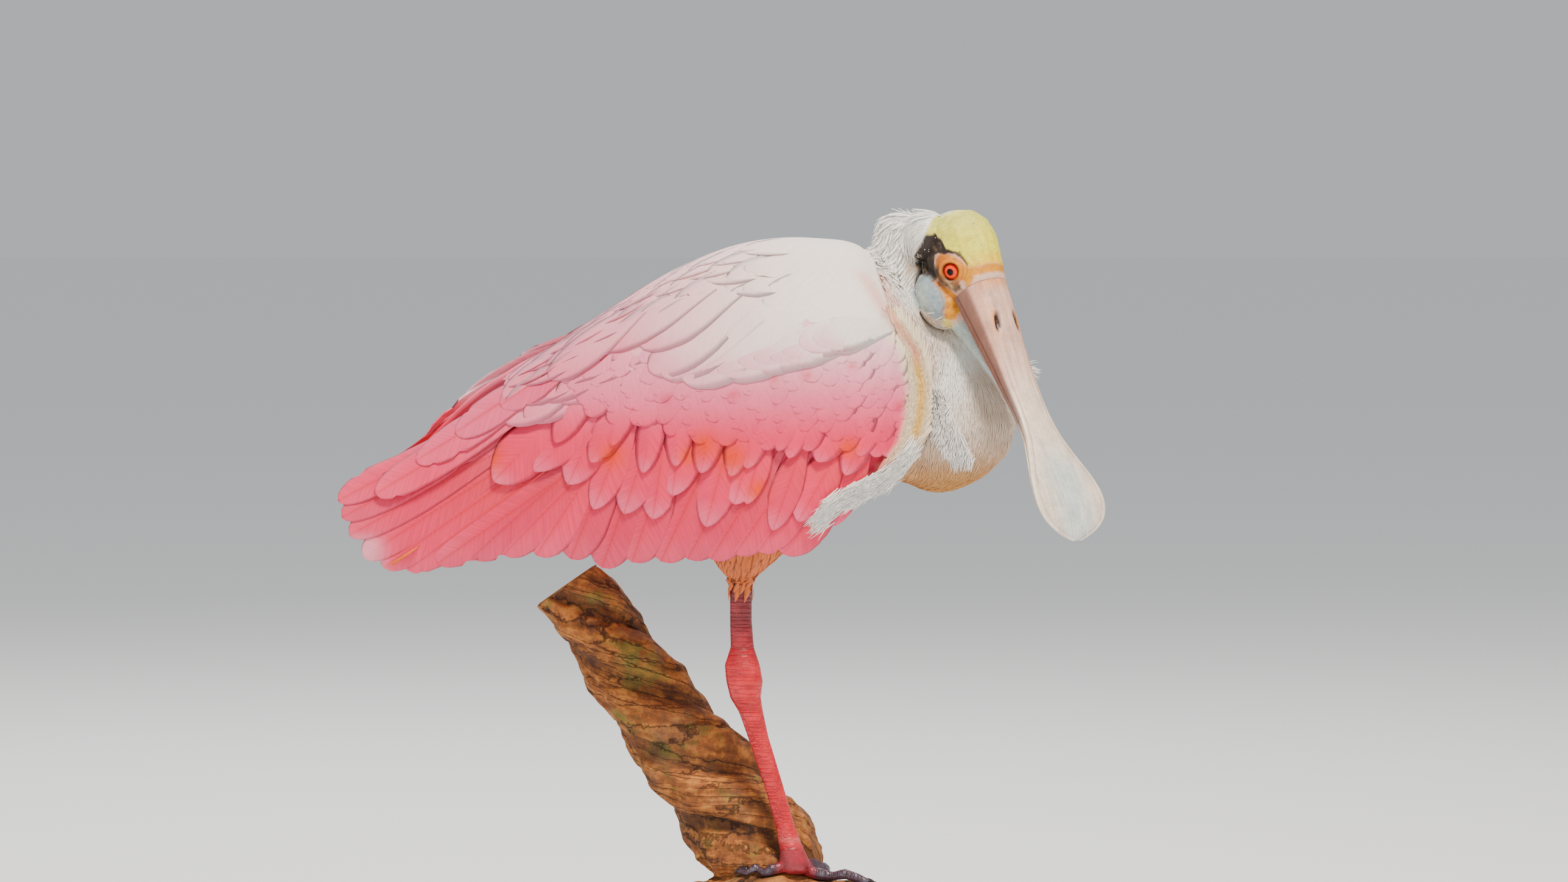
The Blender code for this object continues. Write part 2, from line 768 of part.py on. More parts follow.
def on_side(place, side):
    """A point of the head given for the right side, mirrored to the left where side is -1."""
    along, up, out = place
    return in_head(along, up, out * side)


def eye_facing(side):
    along, up, out = LID_FACING
    return (TO_BILL * along + TO_CROWN * up + TO_RIGHT * out * side).normalized()


def lid(side):
    """The raised ring of skin round one eye."""
    outward = eye_facing(side)
    ahead = (TO_BILL - outward * outward.dot(TO_BILL)).normalized()
    above = outward.cross(ahead)
    bm = bmesh.new()
    rings = []
    for i in range(LID_COLUMNS):
        turn = 2 * math.pi * i / LID_COLUMNS
        spoke = ahead * math.cos(turn) + above * math.sin(turn)
        middle = on_side(LID_MIDDLE, side) + spoke * LID_RADIUS
        points = ring(middle, spoke, outward, LID_THICKNESS * LID_FLATNESS, LID_THICKNESS, 2.0, LID_SIDES)
        rings.append([bm.verts.new(p) for p in points])
    for here, after in zip(rings, rings[1:] + rings[:1]):
        for j in range(LID_SIDES):
            k = (j + 1) % LID_SIDES
            bm.faces.new((here[j], here[k], after[k], after[j]))
    return new_object("lid", bm, "bare_skin")


def eye(side):
    centre = on_side(LID_MIDDLE, side) - eye_facing(side) * EYE_SUNK
    name = "eye_right" if side > 0 else "eye_left"
    return ellipsoid(name, centre, HEAD_AXES, (EYE_RADIUS,) * 3, "eye", 12, 8)


def head_pair(name, place, halves, finish, columns, lines):
    """Two like ellipsoids, one on each side of the head."""
    sizes = [half * MM for half in halves]
    sides = (on_side(place, 1), on_side(place, -1))
    return [ellipsoid(name, centre, HEAD_AXES, sizes, finish, columns, lines) for centre in sides]


def head(eyes, lower_bill):
    skull = head_loft("head", SKULL_ROWS, "bare_skin")
    cheeks = head_pair("cheek", CHEEK_MIDDLE, CHEEK_HALF, "bare_skin", 12, 8)
    pouch = head_loft("pouch", POUCH_ROWS, "bare_skin", 14)
    combine(skull, [*cheeks, pouch, lid(1), lid(-1)], "UNION")
    ears = head_pair("ear", EAR_AT, EAR_HALF, "bare_skin", 8, 6)
    combine(skull, [*ears, face_cut()], "DIFFERENCE")
    return cut_clear(skull, *eyes, lower_bill)


def face_cut():
    """The space that the bill's root fills, cut from the front of the head."""
    length, half_width, top, bottom = FACE_CUT
    bm = bmesh.new()
    bmesh.ops.create_cube(bm, size=2.0)
    for vert in bm.verts:
        along = BILL_START / MM + (vert.co.x + 1) * length / 2
        up = top if vert.co.y > 0 else -bottom
        vert.co = in_head(along, up, vert.co.z * half_width)
    return new_object("face_cut", bm, "bare_skin")


def bill_half(name, upper):
    """Half of the bill: an arch over a flat face, widening into the spoon."""
    sizes = curve_through(BILL_ROWS)
    last = BILL_ROWS[-1][0] * MM
    square = UPPER_SQUARE if upper else LOWER_SQUARE
    direction = TO_CROWN if upper else -TO_CROWN
    root = HEAD_MIDDLE + TO_BILL * (BILL_START + GAP) + direction * GAP / 2
    rings = []
    for share in spread(0, 1, BILL_RINGS):
        reach = last * (1 - (1 - share) ** BILL_CROWDING)
        half_width, height, depth, rise = sizes(reach)
        if not upper:
            half_width, height, reach = half_width * LOWER_SHARE, depth, reach * LOWER_REACH
        base = root + TO_BILL * reach + TO_CROWN * rise
        points = []
        for k in range(BILL_ARC):
            angle = math.pi * k / (BILL_ARC - 1)
            out = signed_power(math.cos(angle), square) * half_width
            up = height * (math.sin(angle) ** square if 0 < k < BILL_ARC - 1 else EDGE_SHARE)
            points.append(base + TO_RIGHT * out + direction * up)
        for edge in (-FLAT_SHARE, FLAT_SHARE):
            points.append(base + TO_RIGHT * edge * half_width)
        rings.append(points)
    return loft(name, rings, "bill")


def bill():
    """The upper half with its nostrils, then the lower half, which is given back."""
    upper = bill_half("bill_upper", True)
    along, out, up = NOSTRIL_AT
    place = (BILL_START / MM + along, up, out)
    combine(upper, head_pair("nostril", place, NOSTRIL_HALF, "bill", 10, 8), "DIFFERENCE")
    return bill_half("bill_lower", False)


# Legs and feet


def upright_loft(name, rows, finish, sides=LEG_SIDES):
    rings = []
    for z, x, y, half_depth, half_width in rows:
        centre = Vector((x, y, z)) * MM
        rings.append(ring(centre, AXIS_X, AXIS_Y, half_depth * MM, half_width * MM, 2.0, sides))
    return loft(name, rings, finish)


def tube(name, points, radii, finish, sides=6):
    """A round tube of changing radius along a path."""
    rings = []
    for i, (point, radius) in enumerate(zip(points, radii)):
        heading = (points[min(i + 1, len(points) - 1)] - points[max(i - 1, 0)]).normalized()
        across = heading.cross(AXIS_Z)
        across = (across if across.length > 0.1 else heading.cross(AXIS_X)).normalized()
        rings.append(ring(point, across, across.cross(heading), radius, radius, 2.0, sides))
    return loft(name, rings, finish)


def toe_radius(share, radius):
    """Swollen at each knuckle, and drawn out to the point of the claw."""
    if share <= 1 - CLAW_SHARE:
        knuckle = 1 + KNUCKLE_SWELL * math.cos(share * 2 * math.pi * KNUCKLES)
        return radius * knuckle * (1 - TOE_TAPER * share)
    return radius * CLAW_THICKNESS * (1 - share) / CLAW_SHARE + CLAW_POINT


def toe_over(surface, start, heading, length, radius):
    """Centres and radii of a toe that bends over the vine, step by step along its surface."""
    spot, normal, _, _ = surface.find_nearest(start)
    centres, radii = [start], [radius]
    for i in range(1, TOE_STEPS + 1):
        heading = (heading - normal * heading.dot(normal)).normalized()
        spot, normal, _, _ = surface.find_nearest(spot + heading * length / TOE_STEPS)
        size = toe_radius(i / TOE_STEPS, radius)
        centres.append(spot + normal * (size - TOE_BEDDING))
        radii.append(size)
    return centres, radii


def web(first, second):
    """The skin between two toes near their roots, a thin plate hung between their middles."""
    rows = [[a.lerp(b, share) for share in spread(0, 1, 4)] for a, b in zip(first, second)]
    across = rows[-1][-1] - rows[-1][0]
    along = (rows[-1][0] + rows[-1][-1]) / 2 - (rows[0][0] + rows[0][-1]) / 2
    out = across.cross(along).normalized() * WEB_THICKNESS / 2
    bm = bmesh.new()
    rings = []
    for row in rows:
        top = [bm.verts.new(spot + out) for spot in row]
        under = [bm.verts.new(spot - out) for spot in reversed(row)]
        rings.append(top + under)
    close_plate(bm, rings)
    return new_object("web", bm, "leg_skin")


def standing_foot(perch):
    """The hub below the shank, four toes laid over the vine, and webs between the front three."""
    surface = BVHTree.FromObject(perch, bpy.context.evaluated_depsgraph_get())
    hub = upright_loft("foot_right", HUB_ROWS, "leg_skin", 14)
    pieces, paths = [], {}
    for name, turn, length, radius in TOES:
        angle = math.radians(turn)
        heading = Vector((math.cos(angle), -math.sin(angle), 0))
        centres, radii = toe_over(surface, HUB_MIDDLE, heading, length * MM, radius * MM)
        paths[name] = centres
        pieces.append(tube(name, centres, radii, "leg_skin"))
    for first, second in (("middle", "outer"), ("inner", "middle")):
        pieces.append(web(paths[first][1:WEB_STEPS], paths[second][1:WEB_STEPS]))
    return combine(hub, pieces, "UNION")


def closed_toe(root, turn, rise, length, radius):
    """One toe of the tucked foot, held straight. One that slopes down is the hind toe, which points back."""
    turn, rise = math.radians(turn), math.radians(rise)
    heading = Vector((math.cos(turn), math.sin(turn), math.tan(rise))).normalized()
    if rise < 0:
        heading.x = -heading.x
    steps = spread(0, 1, CLOSED_TOE_STEPS)
    centres = [root + heading * length * MM * t for t in steps]
    radii = [radius * MM] + [toe_radius(t, radius * MM) for t in steps[1:]]
    return tube("toe", centres, radii, "leg_skin", 6)


def tucked_leg(body, lobe):
    """The far leg's bare heel and shank, folded under the belly feathers, with the toes closed."""
    axes = (AXIS_X, AXIS_Y, AXIS_Z)
    heel = ellipsoid("leg_left", TUCKED_HEEL, axes, [h * MM for h in TUCKED_HEEL_HALF], "leg_skin", 12, 8)
    bones = []
    for rows in (TUCKED_TIBIA, TUCKED_SHANK):
        points = [Vector(row[:3]) * MM for row in rows]
        bones.append(tube("bone", points, [row[3] * MM for row in rows], "leg_skin", 12))
    combine(heel, bones, "UNION")
    cut_clear(heel, body, lobe)
    root = Vector(TUCKED_SHANK[-1][:3]) * MM + AXIS_X * TUCKED_ANKLE_HALF[0] * ANKLE_SHIFT * MM
    ankle = ellipsoid("foot_left", root, axes, [h * MM for h in TUCKED_ANKLE_HALF], "leg_skin", 12, 8)
    combine(ankle, [closed_toe(root, *toe) for toe in TUCKED_TOES], "UNION")
    cut_clear(ankle, heel, body)
    return heel, ankle


def feathered_lobe():
    points = [Vector(row[:3]) * MM for row in LOBE_ROWS]
    return tube("thigh_left", points, [row[3] * MM for row in LOBE_ROWS], "body_plumage", 18)


# Perch and stand


def twisted(name, rows, count, phase):
    """Three strands wound into one round limb, cut square at both ends."""
    line = curve_through([(i, *row) for i, row in enumerate(rows)], MM, 1.0)
    rings, turned, last = [], phase, None
    for place in spread(0, len(rows) - 1, count):
        x, y, z, radius = line(place)
        centre = Vector((x, y, z))
        ahead, behind = Vector(line(place + VINE_PROBE)[:3]), Vector(line(place - VINE_PROBE)[:3])
        heading = (ahead - behind).normalized()
        across = AXIS_Y.cross(heading).normalized()
        up = across.cross(heading).normalized()
        turned += 2 * math.pi * (centre - last).length / VINE_PITCH if last else 0
        last = centre
        points = []
        for k in range(VINE_SIDES):
            angle = 2 * math.pi * k / VINE_SIDES
            lobe = 1 + VINE_LOBE * math.cos(VINE_STRANDS * (angle - turned))
            points.append(centre + (across * math.cos(angle) + up * math.sin(angle)) * radius * lobe)
        rings.append(points)
    return loft(name, rings, "vine_bark")


def vine():
    limb = twisted("perch", LIMB_ROWS, 16, 0.0)
    return combine(limb, [twisted("branch", BRANCH_ROWS, 11, 1.2)], "UNION")


def base():
    """A flat rounded plate with softened edges."""
    bm = bmesh.new()
    outline = []
    for corner in range(4):
        start = corner * math.pi / 2
        mid_x = (BASE_HALF_LENGTH - BASE_CORNER) * (1 if corner in (0, 3) else -1)
        mid_y = (BASE_HALF_WIDTH - BASE_CORNER) * (1 if corner in (0, 1) else -1)
        for angle in spread(start, start + math.pi / 2, BASE_CORNER_STEPS + 1):
            outline.append((mid_x + BASE_CORNER * math.cos(angle), mid_y + BASE_CORNER * math.sin(angle)))
    face = bm.faces.new([bm.verts.new((x, y, 0)) for x, y in outline])
    lifted = bmesh.ops.extrude_face_region(bm, geom=[face])["geom"]
    top = [g for g in lifted if isinstance(g, bmesh.types.BMVert)]
    bmesh.ops.translate(bm, verts=top, vec=(0, 0, BASE_THICKNESS))
    rim = [e for e in bm.edges if all(v in top for v in e.verts)]
    bmesh.ops.bevel(bm, geom=rim, offset=BASE_BEVEL, segments=2, affect="EDGES", profile=0.5)
    return new_object("stand_base", bm, "base_wood")


def rod(number, x, y, perch):
    """A rod from the base up to the vine's underside."""
    surface = BVHTree.FromObject(perch, bpy.context.evaluated_depsgraph_get())
    foot = Vector((x, y, BASE_THICKNESS / MM)) * MM + AXIS_Z * GAP
    underside = surface.ray_cast(foot, AXIS_Z)[0]
    top = underside + AXIS_Z * ROD_INTO_VINE
    rings = [ring(end, AXIS_X, AXIS_Y, ROD_RADIUS, ROD_RADIUS, 2.0, ROD_SIDES) for end in (foot, top)]
    return cut_clear(loft(f"stand_rod_{number}", rings, "rod_metal"), perch)


def build():
    clear_scene()
    body = torso()
    rump = tail()
    skull = head([eye(1), eye(-1)], bill())
    column = neck()
    cut_clear(column, body, skull)
    thigh = upright_loft("thigh_right", THIGH_ROWS, "body_plumage", 20)
    cut_clear(thigh, body)
    lobe = feathered_lobe()
    cut_clear(lobe, body)
    upright_loft("leg_right", LEG_ROWS, "leg_skin")
    heel, closed_foot = tucked_leg(body, lobe)
    wing(-1, [body, rump, thigh])
    wing(1, [body, rump, lobe, heel, closed_foot])
    perch = vine()
    foot = standing_foot(perch)
    cut_clear(foot, bpy.data.objects["leg_right"], perch)
    base()
    for number, (x, y) in enumerate(RODS, 1):
        rod(number, x, y, perch)


build()
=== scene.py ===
"""Looks for the roseate spoonbill: skin, feathers, bill, eyes, claws, bark, stand finishes and a studio.

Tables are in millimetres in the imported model's frame: +X is ahead, +Y the bird's left and +Z up. MM turns
them into metres. The bird turns its head to its right, towards -Y.
"""

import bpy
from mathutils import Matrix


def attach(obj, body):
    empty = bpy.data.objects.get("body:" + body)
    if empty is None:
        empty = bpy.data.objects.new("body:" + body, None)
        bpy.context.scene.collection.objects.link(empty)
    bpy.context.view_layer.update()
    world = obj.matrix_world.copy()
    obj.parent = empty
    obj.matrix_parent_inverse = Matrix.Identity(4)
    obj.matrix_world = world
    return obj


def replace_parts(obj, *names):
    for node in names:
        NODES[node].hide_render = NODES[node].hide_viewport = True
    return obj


bl_info = {
    "name": "Roseate Spoonbill",
    "version": (1, 0, 0),
    "blender": (4, 5, 0),
    "location": "View3D > Sidebar > Spoonbill",
    "description": "Dresses the packed spoonbill with skin, feathers, bill, eyes, bark and a studio",
    "category": "Object",
}

import math

import bmesh
import bpy
import numpy as np
from mathutils import Matrix, Vector, noise
from mathutils.bvhtree import BVHTree

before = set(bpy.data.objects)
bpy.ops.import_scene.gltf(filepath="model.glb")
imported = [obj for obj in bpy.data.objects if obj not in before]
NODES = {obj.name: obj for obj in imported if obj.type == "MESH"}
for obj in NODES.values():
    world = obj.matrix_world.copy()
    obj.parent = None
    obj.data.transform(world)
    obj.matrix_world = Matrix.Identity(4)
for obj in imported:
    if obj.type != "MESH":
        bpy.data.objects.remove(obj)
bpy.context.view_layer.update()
MM = 0.001

# The folded wings' outer face along X: x, height of the middle, reach above it, reach below it, half width.
WING_ROWS = (
    (-252, 316, 20, 26, 9),
    (-205, 322, 34, 46, 20),
    (-160, 340, 50, 64, 32),
    (-120, 354, 62, 84, 44),
    (-80, 368, 74, 104, 56),
    (-40, 380, 86, 124, 67),
    (0, 388, 93, 136, 73),
    (40, 396, 88, 132, 74),
    (75, 400, 77, 112, 67),
    (95, 400, 62, 92, 55),
    (110, 398, 48, 72, 37),
)
WING_POWER = 2.4
WING_LIMIT = 0.985
# The left wing's rear is raised: by how much, and the stretches of x where that starts and ends.
LEFT_WING_RAISE = 12
RAISE_FROM, RAISE_TO = -66, -140
RAISE_OUT_FROM, RAISE_OUT_TO = -160, -225
SIDES = {-1: "right", 1: "left"}

# Feather tiers: share along the tier, tip x, tip z, slope in degrees, length, half width.
PRIMARY_ROWS = (
    (0.0, -205, 287, 36, 110, 13),
    (0.33, -228, 291, 34, 126, 13),
    (0.66, -242, 311, 29, 140, 12),
    (1.0, -247, 328, 28, 152, 12),
)
SECONDARY_ROWS = (
    (0.0, 22, 301, 50, 76, 14),
    (0.35, -38, 295, 63, 84, 15),
    (0.6, -90, 292, 71, 90, 15),
    (0.8, -138, 298, 50, 100, 14),
    (1.0, -186, 291, 36, 128, 13.5),
)
GREATER_ROWS = (
    (0.0, 50, 328, 60, 54, 11),
    (0.3, -4, 323, 70, 60, 12.5),
    (0.6, -60, 325, 76, 62, 12.5),
    (0.8, -104, 326, 62, 62, 13),
    (1.0, -150, 350, 44, 70, 14),
)
MEDIAN_ROWS = (
    (0.0, 84, 350, 62, 40, 10),
    (0.4, 14, 352, 76, 46, 11.5),
    (0.7, -46, 355, 78, 48, 11.5),
    (1.0, -112, 366, 56, 54, 12),
)
TERTIAL_ROWS = (
    (0.0, -223, 332, 30, 132, 12.5),
    (0.33, -198, 351, 32, 118, 13),
    (0.66, -174, 368, 34, 104, 14),
    (1.0, -146, 385, 36, 92, 15),
)
SCAPULAR_ROWS = (
    (0.0, 46, 427, 12, 44, 12),
    (0.3, 14, 417, 20, 64, 15),
    (0.55, -22, 409, 26, 70, 16),
    (0.75, -54, 405, 32, 74, 16),
    (0.88, -66, 424, 30, 78, 15),
    (1.0, -118, 402, 38, 84, 15),
)


def linear(colour):
    """Scene linear channels of an sRGB hex colour."""
    channels = [int(colour[i : i + 2], 16) / 255 for i in (0, 2, 4)]
    return tuple(c / 12.92 if c <= 0.04045 else ((c + 0.055) / 1.055) ** 2.4 for c in channels)


def rgb(colour):
    """The linear channels of a colour, which is sRGB hex, a setting or an array of channels already."""
    return np.asarray(linear(colour) if isinstance(colour, str) else colour, float)


def size_property(name, description, default):
    """A length the user can change, kept in metres and given here in millimetres."""
    return bpy.props.FloatProperty(
        name=name, description=description, default=default * MM, min=0.0, precision=5, unit="LENGTH"
    )


def colour_property(name, description, colour):
    return bpy.props.FloatVectorProperty(
        name=name, description=description, default=linear(colour), min=0.0, max=1.0, subtype="COLOR"
    )


class SpoonbillSettings(bpy.types.PropertyGroup):
    coat_depth: size_property("Coat depth", "How far the skin lies inside the solids under feathers", 2.4)
    barb_gap: size_property("Barb spacing", "Distance between the barbs that the vanes show", 0.55)
    neck_feather: size_property("Neck feather", "Length of the short white neck feathers", 9.0)
    mantle_feather: size_property("Mantle feather", "Length of the broad feathers of the back", 58.0)
    covert_pink: colour_property("Covert pink", "Pink of the wing coverts", "F42A5A")
    flight_pink: colour_property("Flight pink", "Pink of the quills", "F02A58")
    mantle_pale: colour_property("Mantle", "Cream white of the back", "FFF2E9")
    neck_white: colour_property("Neck white", "White of the neck feathers", "FEFBF5")
    carmine: colour_property("Carmine", "Deep red of the flecks and shafts", "D0182F")
    tail_orange: colour_property("Tail orange", "Orange of the tail", "F07814")
    crown_yellow: colour_property("Crown", "Pale yellow of the bare crown", "EEE640")
    orbit_orange: colour_property("Orbit", "Orange of the lids, forehead and gape", "DE8200")
    band_black: colour_property("Head band", "Brown black of the band behind the eye", "2A1E1A")
    cheek_grey: colour_property("Cheek", "Blue grey of the bare cheek", "93A6B0")
    bill_pink: colour_property("Bill", "Grey pink of the bill's root", "E2B8A4")
    spoon_blue: colour_property("Spoon", "Pale blue grey of the spoon", "CBD8D8")
    leg_red: colour_property("Leg", "Red of the tarsus", "D80A22")
    toe_grey: colour_property("Toes", "Purple grey of the toes", "47303E")
    bark_brown: colour_property("Bark", "Orange brown of the vine", "9A5826")
    lichen_green: colour_property("Lichen", "Olive lichen on the vine", "767A2C")
    base_wood: colour_property("Base", "Dark wood of the display base", "38261B")


def settings():
    return bpy.context.scene.spoonbill


# Mesh helpers


def only(*objects):
    """Selects these objects and makes the first one active."""
    bpy.ops.object.select_all(action="DESELECT")
    for obj in objects:
        obj.select_set(True)
    bpy.context.view_layer.objects.active = objects[0]


def apply_modifier(obj, kind, **values):
    modifier = obj.modifiers.new(kind.title(), kind)
    for key, value in values.items():
        setattr(modifier, key, value)
    only(obj)
    bpy.ops.object.modifier_apply(modifier=modifier.name)


def new_piece(name, mesh):
    obj = bpy.data.objects.new(name, mesh)
    bpy.context.scene.collection.objects.link(obj)
    return obj


def dressed(obj, material):
    """Gives a finished piece its material and slot, and lets it ride on the body."""
    obj.data.materials.clear()
    obj.data.materials.append(material)
    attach(obj, "root")
    return obj


def merged_copy(name, nodes):
    """One mesh holding copies of CAD nodes, with their loose triangles merged."""
    bm = bmesh.new()
    for node in nodes:
        bm.from_mesh(NODES[node].data)
    bmesh.ops.remove_doubles(bm, verts=bm.verts, dist=0.01 * MM)
    mesh = bpy.data.meshes.new(name)
    bm.to_mesh(mesh)
    bm.free()
    mesh.materials.clear()
    return new_piece(name, mesh)


def vertex_array(mesh, field="co"):
    """The places of all vertices in metres, or with another field their normals."""
    values = np.zeros(len(mesh.vertices) * 3)
    if field == "co":
        mesh.vertices.foreach_get("co", values)
    else:
        mesh.vertex_normals.foreach_get("vector", values)
    return values.reshape(-1, 3)


def set_vertices(mesh, points):
    mesh.vertices.foreach_set("co", np.ascontiguousarray(points, float).ravel())
    mesh.update()


def paint(mesh, name, colours):
    """Stores a colour for each vertex."""
    values = np.ones((len(mesh.vertices), 4), np.float32)
    values[:, :3] = colours
    layer = mesh.color_attributes.new(name, "FLOAT_COLOR", "POINT")
    layer.data.foreach_set("color", values.ravel())


def store(mesh, name, numbers):
    """Stores a number for each vertex."""
    layer = mesh.attributes.new(name, "FLOAT", "POINT")
    layer.data.foreach_set("value", np.asarray(numbers, np.float32))


def unwrap(mesh, name, places):
    """Stores an unwrap that has one place for each vertex."""
    corners = np.zeros(len(mesh.loops), int)
    mesh.loops.foreach_get("vertex_index", corners)
    layer = mesh.uv_layers.new(name=name)
    layer.data.foreach_set("uv", places[corners].astype(np.float32).ravel())


def ease(low, high, value):
    """0 at low and 1 at high, with a smooth change between. Low may be the larger of the two."""
    share = np.clip((value - low) / (high - low), 0, 1)
    return share * share * (3 - 2 * share)


def bell(value, middle, width):
    """1 at the middle, falling off smoothly on both sides to about a third at the width."""
    return np.exp(-(((value - middle) / width) ** 2))


def mix(first, second, share):
    """Blends two colours in any form that rgb takes. Share is how much there is of the second."""
    share = np.asarray(share)[..., None]
    return rgb(first) * (1 - share) + rgb(second) * share


def unit(vectors):
    """The same directions with length 1."""
    return vectors / np.maximum(np.linalg.norm(vectors, axis=-1, keepdims=True), 1e-12)


def curve_through(rows):
    """A smooth function of the first column of a table, giving the other columns, for arrays of keys."""
    table = np.array(sorted(rows), float)
    keys, values = table[:, 0], table[:, 1:]
    slopes = np.gradient(values, keys, axis=0)

    def at(key):
        key = np.clip(np.asarray(key, float), keys[0], keys[-1])
        i = np.clip(np.searchsorted(keys, key, side="right") - 1, 0, len(keys) - 2)
        step = (keys[i + 1] - keys[i])[..., None]
        t = (key - keys[i])[..., None] / step
        return (
            values[i] * (1 + 2 * t) * (1 - t) ** 2
            + slopes[i] * step * t * (1 - t) ** 2
            + values[i + 1] * t * t * (3 - 2 * t)
            - slopes[i + 1] * step * t * t * (1 - t)
        )

    return at


def ripple(points, scale, seed=0):
    """Smooth noise between -1 and 1 at each point, whose bumps are about scale millimetres across."""
    shift = Vector((seed * 7.3, seed * 3.1, seed * 5.7))
    return np.array([noise.noise(Vector(p) / (scale * MM) + shift) for p in points])


# Materials


class Finish:
    """A material being made from nodes. Each step gives the socket that the next one uses."""

    def __init__(self, name, **values):
        self.material = bpy.data.materials.new(name)
        self.material.use_nodes = True
        self.tree = self.material.node_tree
        self.shader = self.tree.nodes["Principled BSDF"]
        for key, value in values.items():
            self.set(key.replace("_", " "), value)

    def feed(self, node, key, value):
        """Gives a node's input a value, or a socket to link."""
        if isinstance(value, bpy.types.NodeSocket):
            self.tree.links.new(value, node.inputs[key])
        else:
            node.inputs[key].default_value = value

    def set(self, key, value):
        self.feed(self.shader, key, value)

    def add(self, kind, inputs=None, **values):
        node = self.tree.nodes.new("ShaderNode" + kind)
        for key, value in values.items():
            setattr(node, key, value)
        for key, value in (inputs or {}).items():
            self.feed(node, key, value)
        return node

    def place(self):
        """Places in the object, in metres."""
        return self.add("TexCoord").outputs["Object"]

    def stored(self, name, output="Fac"):
        """A number that the mesh stores for each vertex, or with the output Color its colour."""
        return self.add("Attribute", attribute_name=name).outputs[output]

    def unwrapped(self, name):
        return self.add("UVMap", uv_map=name).outputs[0]

    def stretched(self, place, scale):
        return self.add("Mapping", {"Vector": place, "Scale": scale}).outputs[0]

    def noise(self, place, scale, detail=2.0, **more):
        """Cloudy noise. Scale is how many clouds there are along one unit of place."""
        inputs = {"Vector": place, "Scale": scale, "Detail": detail, **more}
        return self.add("TexNoise", inputs).outputs["Fac"]

    def cells(self, place, scale, feature="DISTANCE_TO_EDGE"):
        """Distance from the edges of irregular cells, or with F1 from their middles."""
        return self.add("TexVoronoi", {"Vector": place, "Scale": scale}, feature=feature).outputs["Distance"]

    def maths(self, operation, *values):
        """One step of arithmetic on numbers."""
        return self.add("Math", dict(enumerate(values)), operation=operation).outputs[0]

    def ranged(self, value, start, end, low, high):
        """Maps start to low and end to high."""
        return self.add("MapRange", {"Value": value, 1: start, 2: end, 3: low, 4: high}).outputs[0]

    def ramp(self, share, stops):
        """Colours from a table of places and colours."""
        node = self.add("ValToRGB", {0: share})
        elements = node.color_ramp.elements
        for i, (place, colour) in enumerate(stops):
            element = elements[i] if i < 2 else elements.new(place)
            element.position = place
            element.color = (*rgb(colour), 1)
        return node.outputs[0]

    def blend(self, share, first, second):
        """Blends two numbers. Share is how much there is of the second."""
        return self.add("Mix", {0: share, 2: first, 3: second}).outputs[0]

    def blend_colours(self, share, first, second):
        return self.add("Mix", {0: share, 6: first, 7: second}, data_type="RGBA").outputs[2]

    def shaded(self, colour, *factors):
        """A colour times numbers."""
        for factor in factors:
            colour = self.add("VectorMath", {0: colour, 1: factor}, operation="MULTIPLY").outputs[0]
        return colour

    def bump(self, height, strength, depth):
        """Bumps of the surface, with their depth in millimetres."""
        node = self.add("Bump", {"Height": height, "Strength": strength, "Distance": depth * MM})
        self.set("Normal", node.outputs[0])


# Looks of the three kinds of feather: barb spacing against the setting's, sheen, bump and streaks.
PLUMAGES = {
    "quill": (1.2, 0.04, 0.2, 0.09),
    "covert": (1.0, 0.06, 0.16, 0.08),
    "body": (0.9, 0.12, 0.1, 0.05),
}


def plumage(kind):
    """Preened feather keratin: barbs comb out from the shaft, which the eye reads as a fine slanting grain.

    A material is made when its kind is first asked for.
    """
    name = f"feather_{kind}_vanes"
    if name in bpy.data.materials:
        return bpy.data.materials[name]
    spacing, sheen, bump, streak = PLUMAGES[kind]
    finish = Finish(
        name,
        Roughness=0.62,
        Specular_IOR_Level=0.25,
        Sheen_Weight=sheen,
        Sheen_Roughness=0.5,
        Subsurface_Weight=0.1,
        Subsurface_Radius=(1.0, 0.45, 0.35),
        Subsurface_Scale=2.0 * MM,
    )
    vane = finish.add("SeparateXYZ", {0: finish.unwrapped("vane")}).outputs
    slant = finish.maths("SUBTRACT", vane["Y"], finish.maths("ABSOLUTE", vane["X"]))
    barb_turn = 2 * math.pi / (settings().barb_gap * spacing / MM)
    barbs = finish.maths("SINE", finish.maths("MULTIPLY", slant, barb_turn))
    lock = finish.add("CombineXYZ", {"X": slant, "Y": vane["X"]}).outputs[0]
    locks = finish.noise(finish.stretched(lock, (0.55, 0.07, 1)), 1.0, 3.0)
    shade = finish.ranged(locks, 0.3, 0.7, 1 - streak, 1 + streak)
    fine = finish.ranged(barbs, -1.0, 1.0, 1 - streak / 3, 1.0)
    tone = finish.maths("MULTIPLY", shade, fine)
    finish.set("Base Color", finish.shaded(finish.stored("tint", "Color"), tone))
    finish.bump(finish.maths("ADD", locks, barbs), bump, 0.12)
    return finish.material


# Feathers


def stations(count, crowd=1.5):
    """Shares of a feather's length from root to tip, closer together towards the tip."""
    return 1 - (1 - np.linspace(0, 1, count)) ** crowd


def outline(t, root, widest, tip_power, tip_width=0.06):
    """Half width at each share of a feather's length: it swells from its root and ends in a rounded tip."""
    swell = root + (1 - root) * ease(0, widest, t)
    rounded = np.clip((t - widest) / (1 - widest), 0, 1) ** tip_power
    return np.maximum(swell * (1 - rounded) ** (1 / tip_power), tip_width)


